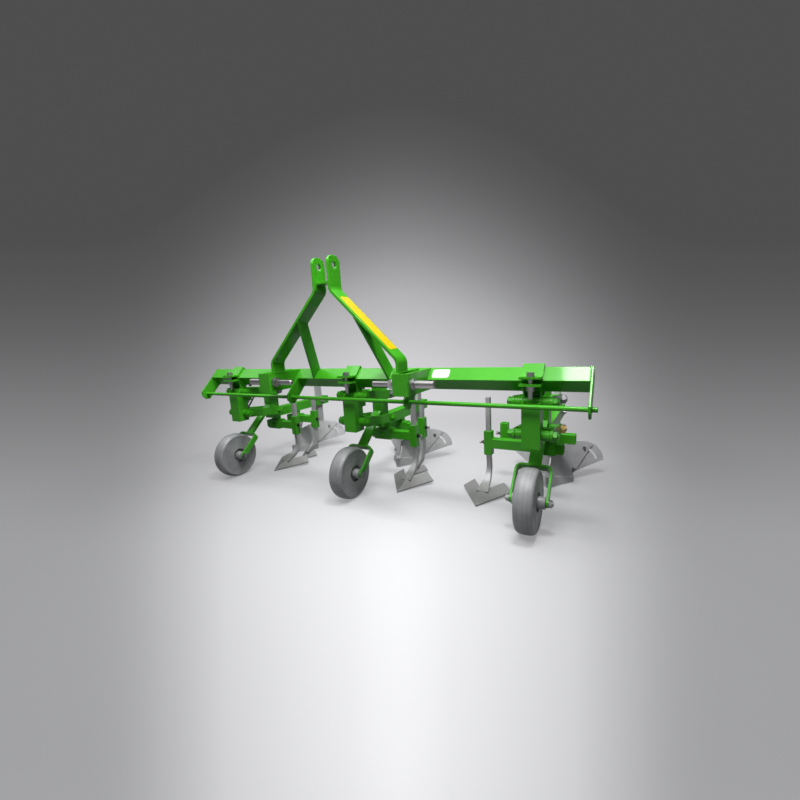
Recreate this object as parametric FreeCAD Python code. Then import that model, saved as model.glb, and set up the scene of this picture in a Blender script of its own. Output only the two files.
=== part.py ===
"""Three-row tractor ridger: toolbar, three-point mast and three parallelogram row units.

Millimetres. X runs along the toolbar, Y to the rear, Z up, the floor is Z = 0.
Every Y below is first given from the gauge wheel axle and then moved by AXLE_Y.
"""
import FreeCAD
import Part
import math
import os

V = FreeCAD.Vector

# Whole machine
AXLE_Y = -320.7          # gauge wheel axle in the shared frame
ROW_SPACING = 750.0      # distance between neighbouring row units

# Toolbar: a square tube standing on its edge
BAR_SIDE = 60.0
BAR_WALL = 5.0
BAR_OVERHANG = 175.0     # toolbar beyond the middle of an outer unit
BAR_HALF_LENGTH = ROW_SPACING + BAR_OVERHANG
BAR_Y = 85.0
BAR_Z = 515.0

# Guard rod in front of the toolbar and the four plates that carry it
ROD_R = 8.0
ROD_CLEAR = 0.05
ROD_REACH = 115.0        # from the toolbar centre, square to its lower front face
ROD_OUT_LEFT = 10.0      # rod beyond the toolbar end
ROD_OUT_RIGHT = 25.0
PLATE_THICK = 8.0
PLATE_REACH = 142.0      # from the toolbar centre to the plate tip
PLATE_CHAMFER = 16.0
INNER_PLATE_X = 298.0    # inner side of the two middle plates

# Three-point mast
LEG_WIDTH = 70.0
LEG_THICK = 12.0
LEG_Y = -50.0
LEG_FOOT_X = 314.0
LEG_BEND_RISE = 85.0     # lower bend above the toolbar centre
EAR_X = 38.0
EAR_HOLE_Z = 964.0
EAR_HOLE_R = 13.0
EAR_TALL = 93.0          # ear hole above the upper bend
EAR_RISE = 36.0          # top of the ear above its hole
EAR_CORNER_R = 29.0
LEG_BEND_R = 30.0        # inner radius of both bends
SPACER_RISE = 26.0       # spacer above the upper bend
SPACER_THICK = 10.0
SPACER_DEPTH = 50.0
BRACE_WIDTH = 54.0
BRACE_THICK = 10.0
BRACE_FOOT_X = 195.0
BRACE_TOP_X = 150.0

# Hitch feet, one channel on each side, and the stepped lower pins
FOOT_X = 308.0           # inner side of the channel
FOOT_WIDE = 62.0
FOOT_WALL = 12.0
FOOT_WEB = 10.0
FOOT_FRONT_Y = -115.0
FOOT_Z = 475.0
FOOT_TALL = 80.0
PIN_Y = -83.0
PIN_Z = 515.0
PIN_OUT_R = 14.0
PIN_IN_R = 11.0
PIN_CLEAR = 0.05
PIN_TIP_X = 460.0
PIN_HEEL_X = 205.0
PIN_COLLAR_R = 21.0
PIN_COLLAR_LONG = 13.0
PIN_CHAMFER = 4.0
LINCH_R = 5.5            # hole for the linch pin
LINCH_BACK = 16.0        # from the pin's end

# Toolbar clamps
CLAMP_HALF = 35.0
CLAMP_THICK = 8.0
CLAMP_GAP = 8.0          # from the clamp lip to the middle of the toolbar corner
LIP_REACH = 75.0
BOLT_REACH = 59.0
BOLT_HOLE_R = 8.5

# Front column of a row unit
COLUMN_SIDE = 60.0
COLUMN_WALL = 5.0
COLUMN_FRONT_Y = 27.0
COLUMN_FOOT_Z = 285.0
NOTCH_R = 29.0           # round opening that bares the front clamp bolt
NOTCH_DROP = 31.0

# Parallelogram
PIVOT_Y = 66.0
PIVOT_LOW_Z = 325.0
PIVOT_GAP = 115.0        # upper pivot above lower pivot
LINK_RUN = 210.0
LINK_DROP = 25.0
LINK_TALL = 40.0
LINK_THICK = 8.0
LINK_IN_X = 58.0         # inner side of a link bar
SLEEVE_R = 18.0
SLEEVE_HALF = 57.0
LINK_PIN_R = 10.0
LINK_PIN_CLEAR = 0.05
LINK_HEAD_R = 15.0
LINK_HEAD_LONG = 9.0

# Carrier behind the links: post, beam and the two crossbar sleeves
POST_HALF = 25.0
POST_FRONT = 246.0
POST_DEEP = 60.0
POST_TOP_Z = 455.0
BEAM_Z = 258.0
BEAM_TALL = 50.0
BEAM_END = 745.0
BEAM_WALL = 5.0
CROSS_Z = 213.0
CROSS_SIDE = 40.0
CROSS_WALL = 4.0
CROSS_CLEAR = 0.1
SLEEVE_OUT = 50.0
SLEEVE_LONG_HALF = 45.0
CROSS_FRONT_Y = 300.0
CROSS_REAR_Y = 460.0
HANGER_HALF = 16.0

# Tine holders and tines
HOLDER_SIDE = 34.0
HOLDER_TALL = 104.0
TINE_THICK = 18.0
TINE_DEEP = 22.0
TINE_CLEAR = 0.1

# Curved foot of a shank: sections down its middle line, back being rearward of the shank
FRONT_FOOT = [
    {"back": 0.0, "z": 158.0, "wide": 18.0, "deep": 22.0},
    {"back": 5.0, "z": 128.0, "wide": 18.0, "deep": 24.0},
    {"back": 5.0, "z": 98.0, "wide": 19.0, "deep": 26.0},
    {"back": -12.0, "z": 68.0, "wide": 24.0, "deep": 22.0},
    {"back": -50.0, "z": 46.0, "wide": 34.0, "deep": 14.0},
    {"back": -104.0, "z": 29.0, "wide": 50.0, "deep": 8.0},
]
REAR_FOOT = [
    {"back": 0.0, "z": 158.0, "wide": 18.0, "deep": 22.0},
    {"back": 0.0, "z": 132.0, "wide": 15.0, "deep": 34.0},
    {"back": -6.0, "z": 96.0, "wide": 13.0, "deep": 42.0},
    {"back": -24.0, "z": 62.0, "wide": 14.0, "deep": 40.0},
    {"back": -56.0, "z": 42.0, "wide": 20.0, "deep": 26.0},
    {"back": -98.0, "z": 30.0, "wide": 28.0, "deep": 14.0},
]
FRONT_TOP = 410.0
REAR_TOP = 340.0
FRONT_SWEEP = {"run": 190.0, "span": 106.0, "reach": 156.0, "width": 50.0, "rise": 12.0}
REAR_SWEEP = {"run": 150.0, "span": 52.0, "reach": 84.0, "width": 34.0, "rise": 8.0}
SWEEP_THICK = 6.0
SWEEP_PITCH = 26.0       # slope of a sweep's wings in degrees

# Ridging body
RIDGE_STEM_HALF = 10.0
RIDGE_STEM_Y = 655.0
RIDGE_STEM_DEEP = 45.0
RIDGE_STEM_TOP = 395.0
RIDGE_STEM_CLEAR = 0.1
BOARD_THICK = 5.0
BOARD_LEAN = 0.45        # rearward run of the boards for each unit of height
BOARD_GAP = 0.1
BOARD_TALL = 190.0
BOARD_START = (3.0, 408.0)     # plan line of a board at the floor as (x, y)
BOARD_MIDDLE = (97.0, 530.0)
BOARD_END = (222.0, 652.0)
SLIT_HALF = 8.0          # opening between the boards, at its foot
SHARE_PROUD = 5.0        # the share stands in front of the boards
SHARE_THICK = 13.0
SHARE_TALL = 46.0
SHARE_OUT = 90.0
SHARE_END_TALL = 22.0
WING_BOLT = (86.0, 48.0)       # the bolt that a wing swings on, in front view
FAN_R = 117.0            # board and wing end on one arc round that bolt
BOARD_EDGE_ANGLE = 57.0
BOARD_EDGE_OUT = 9.0
WING_EDGE_ANGLE = 15.0
WING_BACK_ANGLE = 92.0
WING_EDGE_OUT = 12.0
SLOT_R = 90.0
SLOT_WIDE = 8.0
SLOT_FROM = 19.0
SLOT_TO = 66.0
STRUT_Z = 84.0
STRUT_THICK = 12.0
STRUT_OUT = 60.0

# Gauge wheel and fork
WHEEL_R = 112.0
WHEEL_HALF = 32.0
WHEEL_CROWN = 3.0        # the tread is this much higher in the middle
WHEEL_FLAT = 8.0         # half width of the crown's top
WHEEL_SHOULDER = 9.0
WHEEL_RECESS = 14.0
RECESS_R = 34.0
HUB_R = 21.0
HUB_END_CLEAR = 1.0
AXLE_R = 10.0
AXLE_CLEAR = 0.05
ARM_IN_X = 56.0
ARM_BEND_R = 16.0
ARM_THICK = 8.0
ARM_WIDE = 30.0
BRIDGE_GAP = 12.0        # from the tread to the bridge
BRIDGE_THICK = 12.0
FORK_ANGLE = 41.0
STEM_HALF = 22.0
STEM_THICK = 16.0
STEM_REACH = 270.0       # long enough to meet the post

# Tool setting of each unit: the sign says on which side the tines stand
UNITS = [
    {"name": "left", "x": -ROW_SPACING, "front": 150.0, "front_end": -62.0,
     "rear": 150.0, "rear_end": -62.0, "rear_tine": True},
    {"name": "middle", "x": 0.0, "front": 165.0, "front_end": -62.0,
     "rear": 130.0, "rear_end": -62.0, "rear_tine": True},
    {"name": "right", "x": ROW_SPACING, "front": -225.0, "front_end": 74.0,
     "rear": -198.0, "rear_end": 102.0, "rear_tine": False},
]

PARTS = {}


def box(x0, x1, y0, y1, z0, z1):
    """Box between two corners, Y from the axle."""
    return Part.makeBox(x1 - x0, y1 - y0, z1 - z0, V(x0, y0 + AXLE_Y, z0))


def prism_x(outline, x0, x1):
    """Outline of (y, z) points drawn out along X."""
    pts = [V(x0, y + AXLE_Y, z) for y, z in outline]
    pts.append(pts[0])
    return Part.Face(Part.makePolygon(pts)).extrude(V(x1 - x0, 0, 0))


def prism_y(outline, y0, y1):
    """Outline of (x, z) points drawn out along Y."""
    pts = [V(x, y0 + AXLE_Y, z) for x, z in outline]
    pts.append(pts[0])
    return Part.Face(Part.makePolygon(pts)).extrude(V(0, y1 - y0, 0))


def cyl_x(r, x0, x1, y, z):
    """Round bar along X."""
    return Part.makeCylinder(r, x1 - x0, V(x0, y + AXLE_Y, z), V(1, 0, 0))


def cyl_z(r, x, y, z0, z1):
    """Round bar along Z."""
    return Part.makeCylinder(r, z1 - z0, V(x, y + AXLE_Y, z0), V(0, 0, 1))


def strip_sides(points, width):
    """Both sides of an even strip along a broken line of 2-D points."""
    half = width / 2.0
    left = []
    right = []
    for i, (a, b) in enumerate(points):
        dirs = []
        if i > 0:
            dirs.append((a - points[i - 1][0], b - points[i - 1][1]))
        if i < len(points) - 1:
            dirs.append((points[i + 1][0] - a, points[i + 1][1] - b))
        unit = [(da / math.hypot(da, db), db / math.hypot(da, db)) for da, db in dirs]
        sa = sum(u[0] for u in unit)
        sb = sum(u[1] for u in unit)
        length = math.hypot(sa, sb)
        na = -sb / length
        nb = sa / length
        cosine = na * -unit[0][1] + nb * unit[0][0]
        reach = half / cosine
        left.append((a + na * reach, b + nb * reach))
        right.append((a - na * reach, b - nb * reach))
    return left, right


def strip(points, width):
    """Outline of an even strip along a broken line of 2-D points."""
    left, right = strip_sides(points, width)
    return left + right[::-1]


def fillet_y(shape, x, z, radius):
    """Round the edge that runs along Y through (x, z)."""
    chosen = []
    for edge in shape.Edges:
        near = [math.hypot(v.X - x, v.Z - z) for v in edge.Vertexes]
        if len(near) == 2 and max(near) < 0.01:
            chosen.append(edge)
    return shape.makeFillet(radius, chosen)


def bent_bar(points, thick, radius, y0, y1):
    """Flat bar bent to a line of (x, z) points with one inner radius."""
    left, right = strip_sides(points, thick)
    bar = prism_y(strip(points, thick), y0, y1)
    for i in range(1, len(points) - 1):
        (xa, za), (xb, zb), (xc, zc) = points[i - 1:i + 2]
        turn = (xb - xa) * (zc - zb) - (zb - za) * (xc - xb)
        inner, outer = (left[i], right[i]) if turn > 0 else (right[i], left[i])
        bar = fillet_y(bar, inner[0], inner[1], radius)
        bar = fillet_y(bar, outer[0], outer[1], radius + thick)
    return bar


def half_space(point, normal, size=900.0):
    """Large block filling the side of a plane that the normal points to."""
    block = Part.makeBox(size, size, size, V(-size / 2, -size / 2, 0))
    turn = FreeCAD.Rotation(V(0, 0, 1), normal)
    block.Placement = FreeCAD.Placement(V(point.x, point.y + AXLE_Y, point.z), turn)
    return block


def mirror_x(shape, x=0.0):
    """Mirror image across the plane X = x."""
    return shape.mirror(V(x, 0, 0), V(1, 0, 0))


def move_x(shape, x):
    """Copy of a shape moved along X."""
    copy = shape.copy()
    copy.translate(V(x, 0, 0))
    return copy


def fuse(first, *rest):
    """One solid out of overlapping or touching ones."""
    return first.multiFuse(list(rest)).removeSplitter()


def add(name, shape):
    """Keep a finished node, as one valid solid."""
    solids = shape.Solids
    if len(solids) != 1:
        raise ValueError("%s has %d solids" % (name, len(solids)))
    solid = solids[0]
    if not solid.isValid():
        raise ValueError("%s is not valid" % name)
    PARTS[name] = solid


def diamond(side):
    """Outline of the toolbar section with the given side."""
    reach = side / math.sqrt(2.0)
    return [(BAR_Y - reach, BAR_Z), (BAR_Y, BAR_Z + reach),
            (BAR_Y + reach, BAR_Z), (BAR_Y, BAR_Z - reach)]


def toolbar():
    """Square tube on its edge, open at both ends behind the end plates."""
    outer = prism_x(diamond(BAR_SIDE), -BAR_HALF_LENGTH, BAR_HALF_LENGTH)
    inner = prism_x(diamond(BAR_SIDE - 2 * BAR_WALL), -BAR_HALF_LENGTH, BAR_HALF_LENGTH)
    return outer.cut(inner)


def slanted(along, across):
    """Point given along and across the line square to the lower front face."""
    root = math.sqrt(0.5)
    return (BAR_Y - root * along - root * across, BAR_Z - root * along + root * across)


def rod_plate(x0, wraps):
    """Plate that carries the guard rod; an end plate also closes the toolbar."""
    half = BAR_SIDE / 2.0
    cut = PLATE_CHAMFER
    heel = -half if wraps else half
    outline = [slanted(heel, half), slanted(PLATE_REACH - cut, half), slanted(PLATE_REACH, half - cut),
               slanted(PLATE_REACH, cut - half), slanted(PLATE_REACH - cut, -half), slanted(heel, -half)]
    rod_y, rod_z = slanted(ROD_REACH, 0.0)
    plate = prism_x(outline, x0, x0 + PLATE_THICK)
    return plate.cut(cyl_x(ROD_R + ROD_CLEAR, x0 - 5.0, x0 + PLATE_THICK + 5.0, rod_y, rod_z))


def leg_bends():
    """Lower and upper bend of the mast leg as (x, z)."""
    return (LEG_FOOT_X, BAR_Z + LEG_BEND_RISE), (EAR_X, EAR_HOLE_Z - EAR_TALL)


def mast_leg():
    """Right mast leg: bent flat bar with an ear on top."""
    foot_z = FOOT_Z + FOOT_TALL
    low, high = leg_bends()
    line = [(LEG_FOOT_X, foot_z), low, high, (EAR_X, EAR_HOLE_Z + EAR_RISE)]
    front = LEG_Y - LEG_WIDTH / 2.0
    rear = LEG_Y + LEG_WIDTH / 2.0
    bar = bent_bar(line, LEG_THICK, LEG_BEND_R, front, rear)
    corners = [e for e in bar.Edges if e.BoundBox.ZMin > EAR_HOLE_Z and e.BoundBox.YLength < 0.01]
    bar = bar.makeFillet(EAR_CORNER_R, corners)
    return bar.cut(cyl_x(EAR_HOLE_R, 0.0, EAR_X + LEG_WIDTH, LEG_Y, EAR_HOLE_Z))


def mast_brace():
    """Right brace: flat bar from the underside of the leg down to the toolbar."""
    low, high = leg_bends()
    run_x = high[0] - low[0]
    run_z = high[1] - low[1]
    length = math.hypot(run_x, run_z)
    along = V(run_x / length, 0, run_z / length)
    under = V(-along.z, 0, along.x)
    share = (low[0] - BRACE_TOP_X) / -run_x
    half = LEG_THICK / 2.0
    top = V(BRACE_TOP_X, LEG_Y, low[1] + share * run_z) + under * half
    face_y, face_z = slanted(0.0, BAR_SIDE / 2.0)
    foot = V(BRACE_FOOT_X, face_y, face_z)
    axis = top - foot
    reach = axis.Length
    axis.normalize()
    wide = axis.cross(V(1, 0, 0))
    wide.normalize()
    thick = wide.cross(axis)
    corners = []
    for a, b in ((-1, -1), (1, -1), (1, 1), (-1, 1)):
        p = foot - axis * 60.0 + thick * (a * BRACE_THICK / 2.0) + wide * (b * BRACE_WIDTH / 2.0)
        corners.append(V(p.x, p.y + AXLE_Y, p.z))
    corners.append(corners[0])
    brace = Part.Face(Part.makePolygon(corners)).extrude(axis * (reach + 120.0))
    brace = brace.cut(half_space(top, under * -1.0))
    brace = brace.cut(half_space(foot, V(0, 1, -1)))
    return brace


def hitch_foot():
    """Right hitch foot: channel notched over the toolbar."""
    top = FOOT_Z + FOOT_TALL
    reach = BAR_SIDE / math.sqrt(2.0)
    nose = BAR_Y - reach
    low = nose + (BAR_Z - FOOT_Z)
    high = nose + (top - BAR_Z)
    side = [(FOOT_FRONT_Y, FOOT_Z), (low, FOOT_Z), (nose, BAR_Z), (high, top), (FOOT_FRONT_Y, top)]
    inner = prism_x(side, FOOT_X, FOOT_X + FOOT_WALL)
    outer = prism_x(side, FOOT_X + FOOT_WIDE - FOOT_WALL, FOOT_X + FOOT_WIDE)
    web = box(FOOT_X, FOOT_X + FOOT_WIDE, FOOT_FRONT_Y, FOOT_FRONT_Y + FOOT_WEB, FOOT_Z, top)
    foot = fuse(inner, outer, web)
    return foot.cut(cyl_x(PIN_OUT_R + PIN_CLEAR, FOOT_X - 5.0, FOOT_X + FOOT_WIDE + 5.0, PIN_Y, PIN_Z))


def hitch_pin():
    """Right lower pin: stepped, a collar on each side of the foot, a linch hole at its tip."""
    far = FOOT_X + FOOT_WIDE
    taper = PIN_CHAMFER
    pin = fuse(
        cyl_x(PIN_OUT_R, FOOT_X, PIN_TIP_X - taper, PIN_Y, PIN_Z),
        Part.makeCone(PIN_OUT_R, PIN_OUT_R - taper, taper,
                      V(PIN_TIP_X - taper, PIN_Y + AXLE_Y, PIN_Z), V(1, 0, 0)),
        cyl_x(PIN_IN_R, PIN_HEEL_X + taper, FOOT_X, PIN_Y, PIN_Z),
        Part.makeCone(PIN_IN_R, PIN_IN_R - taper, taper,
                      V(PIN_HEEL_X + taper, PIN_Y + AXLE_Y, PIN_Z), V(-1, 0, 0)),
        cyl_x(PIN_COLLAR_R, far, far + PIN_COLLAR_LONG, PIN_Y, PIN_Z),
        cyl_x(PIN_COLLAR_R, FOOT_X - PIN_COLLAR_LONG, FOOT_X, PIN_Y, PIN_Z),
    )
    return pin.cut(cyl_z(LINCH_R, PIN_TIP_X - LINCH_BACK, PIN_Y, PIN_Z - PIN_COLLAR_R, PIN_Z + PIN_COLLAR_R))


def clamp_outline(sign):
    """Half shell of the clamp above (+1) or below (-1) the toolbar."""
    reach = BAR_SIDE / math.sqrt(2.0)
    peak = reach + CLAMP_THICK * math.sqrt(2.0)
    lip = CLAMP_GAP + CLAMP_THICK
    right = [(reach - CLAMP_GAP, CLAMP_GAP), (LIP_REACH, CLAMP_GAP), (LIP_REACH, lip),
             (peak - lip, lip), (0.0, peak)]
    left = [(-y, z) for y, z in right[:-1]][::-1]
    outline = [(0.0, reach)] + right + left
    return [(BAR_Y + y, BAR_Z + sign * z) for y, z in outline]


def clamp():
    """Upper clamp shell with one bolt hole in each lip."""
    shell = prism_x(clamp_outline(1), -CLAMP_HALF, CLAMP_HALF)
    for y in (-BOLT_REACH, BOLT_REACH):
        shell = shell.cut(cyl_z(BOLT_HOLE_R, 0.0, BAR_Y + y, BAR_Z, BAR_Z + 60.0))
    return shell


def column():
    """Front column: lower clamp shell, square tube and two pivot sleeves."""
    shell = prism_x(clamp_outline(-1), -CLAMP_HALF, CLAMP_HALF)
    for y in (-BOLT_REACH, BOLT_REACH):
        shell = shell.cut(cyl_z(BOLT_HOLE_R, 0.0, BAR_Y + y, BAR_Z - 60.0, BAR_Z))
    half = COLUMN_SIDE / 2.0
    front = COLUMN_FRONT_Y
    back = front + COLUMN_SIDE
    peak = (BAR_SIDE / 2.0 + CLAMP_THICK) * math.sqrt(2.0)
    lip = BAR_Z - CLAMP_GAP - CLAMP_THICK
    bend = BAR_Y - peak + (BAR_Z - lip)
    outline = [(front, COLUMN_FOOT_Z), (back, COLUMN_FOOT_Z), (back, BAR_Z - peak + abs(back - BAR_Y)),
               (BAR_Y, BAR_Z - peak), (bend, lip), (front, lip)]
    wall = COLUMN_WALL
    hollow = [(front + wall, COLUMN_FOOT_Z), (back - wall, COLUMN_FOOT_Z),
              (back - wall, BAR_Z - peak + abs(back - wall - BAR_Y)), (bend, lip), (front + wall, lip)]
    tube = prism_x(outline, -half, half).cut(prism_x(hollow, wall - half, half - wall))
    tube = tube.cut(cyl_x(NOTCH_R, -half - 5.0, half + 5.0, front, lip - NOTCH_DROP))
    body = fuse(tube, shell)
    for z in (PIVOT_LOW_Z, PIVOT_LOW_Z + PIVOT_GAP):
        body = body.fuse(cyl_x(SLEEVE_R, -SLEEVE_HALF, SLEEVE_HALF, PIVOT_Y, z))
    for z in (PIVOT_LOW_Z, PIVOT_LOW_Z + PIVOT_GAP):
        body = body.cut(cyl_x(LINK_PIN_R + LINK_PIN_CLEAR, -100.0, 100.0, PIVOT_Y, z))
    return body.removeSplitter()


def link(front_z):
    """Pair of link bars on two pins."""
    rear_y = PIVOT_Y + LINK_RUN
    rear_z = front_z - LINK_DROP
    outline = strip([(PIVOT_Y, front_z), (rear_y, rear_z)], LINK_TALL)
    pieces = []
    for x0 in (-LINK_IN_X - LINK_THICK, LINK_IN_X):
        x1 = x0 + LINK_THICK
        pieces.append(prism_x(outline, x0, x1))
        pieces.append(cyl_x(LINK_TALL / 2.0, x0, x1, PIVOT_Y, front_z))
        pieces.append(cyl_x(LINK_TALL / 2.0, x0, x1, rear_y, rear_z))
    out = LINK_IN_X + LINK_THICK
    for y, z in ((PIVOT_Y, front_z), (rear_y, rear_z)):
        pieces.append(cyl_x(LINK_PIN_R, -out, out, y, z))
        pieces.append(cyl_x(LINK_HEAD_R, out, out + LINK_HEAD_LONG, y, z))
        pieces.append(cyl_x(LINK_HEAD_R, -out - LINK_HEAD_LONG, -out, y, z))
    return fuse(*pieces)


def carrier():
    """Rear post and beam with pivot sleeves, crossbar sleeves and the stem pocket."""
    back = POST_FRONT + POST_DEEP
    top = BEAM_Z + BEAM_TALL
    wall = BEAM_WALL
    outer = box(-POST_HALF, POST_HALF, POST_FRONT, back, BEAM_Z, POST_TOP_Z).fuse(
        box(-POST_HALF, POST_HALF, POST_FRONT, BEAM_END, BEAM_Z, top))
    inside = POST_HALF - wall
    inner = box(-inside, inside, POST_FRONT + wall, back - wall, BEAM_Z + wall, POST_TOP_Z - wall).fuse(
        box(-inside, inside, POST_FRONT + wall, BEAM_END, BEAM_Z + wall, top - wall))
    body = outer.cut(inner)
    pivots = [(PIVOT_Y + LINK_RUN, PIVOT_LOW_Z - LINK_DROP),
              (PIVOT_Y + LINK_RUN, PIVOT_LOW_Z - LINK_DROP + PIVOT_GAP)]
    half = SLEEVE_OUT / 2.0
    extra = []
    for y, z in pivots:
        extra.append(cyl_x(SLEEVE_R, -SLEEVE_HALF, SLEEVE_HALF, y, z))
    for y in (CROSS_FRONT_Y, CROSS_REAR_Y):
        extra.append(box(-SLEEVE_LONG_HALF, SLEEVE_LONG_HALF, y - half, y + half,
                         CROSS_Z - half, CROSS_Z + half))
        extra.append(box(-inside, inside, y - HANGER_HALF, y + HANGER_HALF,
                         CROSS_Z + half, BEAM_Z))
    stem_back = RIDGE_STEM_Y + RIDGE_STEM_DEEP
    extra.append(box(-inside, inside, RIDGE_STEM_Y - wall, stem_back + wall, BEAM_Z + wall, top - wall))
    body = body.multiFuse(extra)
    for y, z in pivots:
        body = body.cut(cyl_x(LINK_PIN_R + LINK_PIN_CLEAR, -100.0, 100.0, y, z))
    hole = CROSS_SIDE / 2.0 + CROSS_CLEAR
    for y in (CROSS_FRONT_Y, CROSS_REAR_Y):
        body = body.cut(box(-100.0, 100.0, y - hole, y + hole, CROSS_Z - hole, CROSS_Z + hole))
    gap = RIDGE_STEM_CLEAR
    slot = RIDGE_STEM_HALF + gap
    body = body.cut(box(-slot, slot, RIDGE_STEM_Y - gap, stem_back + gap, BEAM_Z - 10.0, top + 10.0))
    return body.removeSplitter()


def crossbar(y, hold_x, end_x):
    """Square tube with the upright tine holder at one end."""
    half = CROSS_SIDE / 2.0
    side = 1.0 if hold_x > 0 else -1.0
    near = hold_x - side * HOLDER_SIDE / 2.0
    x0 = min(near, end_x)
    x1 = max(near, end_x)
    bar = box(x0, x1, y - half, y + half, CROSS_Z - half, CROSS_Z + half)
    thin = half - CROSS_WALL
    bar = bar.cut(box(x0, x1, y - thin, y + thin, CROSS_Z - thin, CROSS_Z + thin))
    out = HOLDER_SIDE / 2.0
    tall = HOLDER_TALL / 2.0
    holder = box(hold_x - out, hold_x + out, y - out, y + out, CROSS_Z - tall, CROSS_Z + tall)
    gap_x = TINE_THICK / 2.0 + TINE_CLEAR
    gap_y = TINE_DEEP / 2.0 + TINE_CLEAR
    hole = box(hold_x - gap_x, hold_x + gap_x, y - gap_y, y + gap_y, CROSS_Z - 80.0, CROSS_Z + 80.0)
    return fuse(bar, holder).cut(hole)


def sweep_blade(x, tip_y, span, reach, width, rise):
    """Flat two-winged sweep with its tip on the floor."""
    length = math.hypot(span, reach)
    ux = span / length
    uy = reach / length
    slope = math.tan(math.radians(SWEEP_PITCH))
    wings = []
    for side in (-1.0, 1.0):
        far = (span, reach, rise)
        rear = (span - uy * width, reach + ux * width, rise + width * slope)
        back = rear[0] / ux
        mid = (0.0, rear[1] - back * uy, rear[2] - back / length * rise)
        pts = [V(x + side * a, tip_y + b + AXLE_Y, c)
               for a, b, c in ((0.0, 0.0, 0.0), far, rear, mid)]
        pts.append(pts[0])
        wings.append(Part.Face(Part.makePolygon(pts)).extrude(V(0, 0, SWEEP_THICK)))
    return wings[0].fuse(wings[1])


def shank_section(points, i, size):
    """Rectangle square to the shank's curved middle line at one of its points."""
    prev = points[max(i - 1, 0)]
    following = points[min(i + 1, len(points) - 1)]
    run = V(0.0, following[0] - prev[0], following[1] - prev[1])
    if i == 0:
        run = V(0.0, 0.0, -1.0)
    run.normalize()
    deep = run.cross(V(1, 0, 0)) * (size["deep"] / 2.0)
    wide = V(size["wide"] / 2.0, 0, 0)
    middle = V(0.0, points[i][0] + AXLE_Y, points[i][1])
    corners = [middle + wide + deep, middle - wide + deep, middle - wide - deep, middle + wide - deep]
    corners.append(corners[0])
    return Part.makePolygon(corners)


def tine(x, y, top_z, sections, sweep):
    """Straight shank, its curved foot as a loft, and the sweep below."""
    points = [(y + row["back"], row["z"]) for row in sections]
    wires = [shank_section(points, i, row) for i, row in enumerate(sections)]
    foot = Part.makeLoft(wires, True, True)
    foot.translate(V(x, 0, 0))
    half = TINE_THICK / 2.0
    deep = TINE_DEEP / 2.0
    shank = box(x - half, x + half, y - deep, y + deep, sections[0]["z"], top_z)
    foot = foot.cut(box(x - 100.0, x + 100.0, y - 400.0, y + 200.0, -50.0, 5.0))
    blade = sweep_blade(x, y - sweep["run"], sweep["span"], sweep["reach"], sweep["width"], sweep["rise"])
    return fuse(shank, foot, blade)


def fork_point(along, across=0.0):
    """Point in the fork plane, measured from the axle."""
    angle = math.radians(FORK_ANGLE)
    return (along * math.cos(angle) - across * math.sin(angle),
            WHEEL_R + along * math.sin(angle) + across * math.cos(angle))


def fork():
    """Wheel fork: axle, one strap bent over the wheel, and the stem up to the post."""
    far = WHEEL_R + BRIDGE_GAP + BRIDGE_THICK
    side = ARM_IN_X + ARM_THICK / 2.0
    crown = far - ARM_THICK / 2.0
    line = [(-side, 0.0), (-side, crown), (side, crown), (side, 0.0)]
    half = ARM_WIDE / 2.0
    strap = bent_bar(line, ARM_THICK, ARM_BEND_R, -half - AXLE_Y, half - AXLE_Y)
    strap.rotate(V(0, 0, 0), V(1, 0, 0), FORK_ANGLE - 90.0)
    strap.translate(V(0, AXLE_Y, WHEEL_R))
    pieces = [strap, cyl_x(AXLE_R, -ARM_IN_X - ARM_THICK, ARM_IN_X + ARM_THICK, 0.0, WHEEL_R)]
    for x0 in (-ARM_IN_X - ARM_THICK, ARM_IN_X):
        pieces.append(cyl_x(half, x0, x0 + ARM_THICK, 0.0, WHEEL_R))
    stem = strip([fork_point(far - ARM_THICK), fork_point(far + STEM_REACH)], STEM_THICK)
    pieces.append(prism_x(stem, -STEM_HALF, STEM_HALF))
    body = pieces[0].multiFuse(pieces[1:])
    body = body.cut(box(-100.0, 100.0, POST_FRONT, POST_FRONT + 300.0, 0.0, 600.0))
    return body.removeSplitter()


def wheel():
    """Steel gauge wheel: crowned tread, flat sides and a sleeve out to each fork arm."""
    bore = AXLE_R + AXLE_CLEAR
    hub = ARM_IN_X - HUB_END_CLEAR
    deep = WHEEL_HALF - WHEEL_RECESS
    edge = WHEEL_R - WHEEL_CROWN
    turn = WHEEL_SHOULDER
    cut = turn * (1.0 - math.sqrt(0.5))
    side = [(bore, -hub), (HUB_R, -hub), (HUB_R, -deep), (RECESS_R, -deep),
            (RECESS_R, -WHEEL_HALF), (edge - turn, -WHEEL_HALF),
            (edge - cut, cut - WHEEL_HALF), (edge, turn - WHEEL_HALF)]

    def at(r, x):
        return V(x, 0.0, r)

    edges = []
    for sign in (1.0, -1.0):
        ends = [at(r, sign * x) for r, x in side]
        edges += [Part.makeLine(a, b) for a, b in zip(ends, ends[1:])]
    tread = [at(edge, turn - WHEEL_HALF), at(WHEEL_R, -WHEEL_FLAT), at(WHEEL_R, WHEEL_FLAT),
             at(edge, WHEEL_HALF - turn)]
    edges += [Part.makeLine(a, b) for a, b in zip(tread, tread[1:])]
    edges.append(Part.makeLine(at(bore, -hub), at(bore, hub)))
    profile = Part.Face(Part.Wire(Part.__sortEdges__(edges)))
    solid = profile.revolve(V(0, 0, 0), V(1, 0, 0), 360)
    solid.translate(V(0.0, AXLE_Y, WHEEL_R))
    return solid


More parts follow.
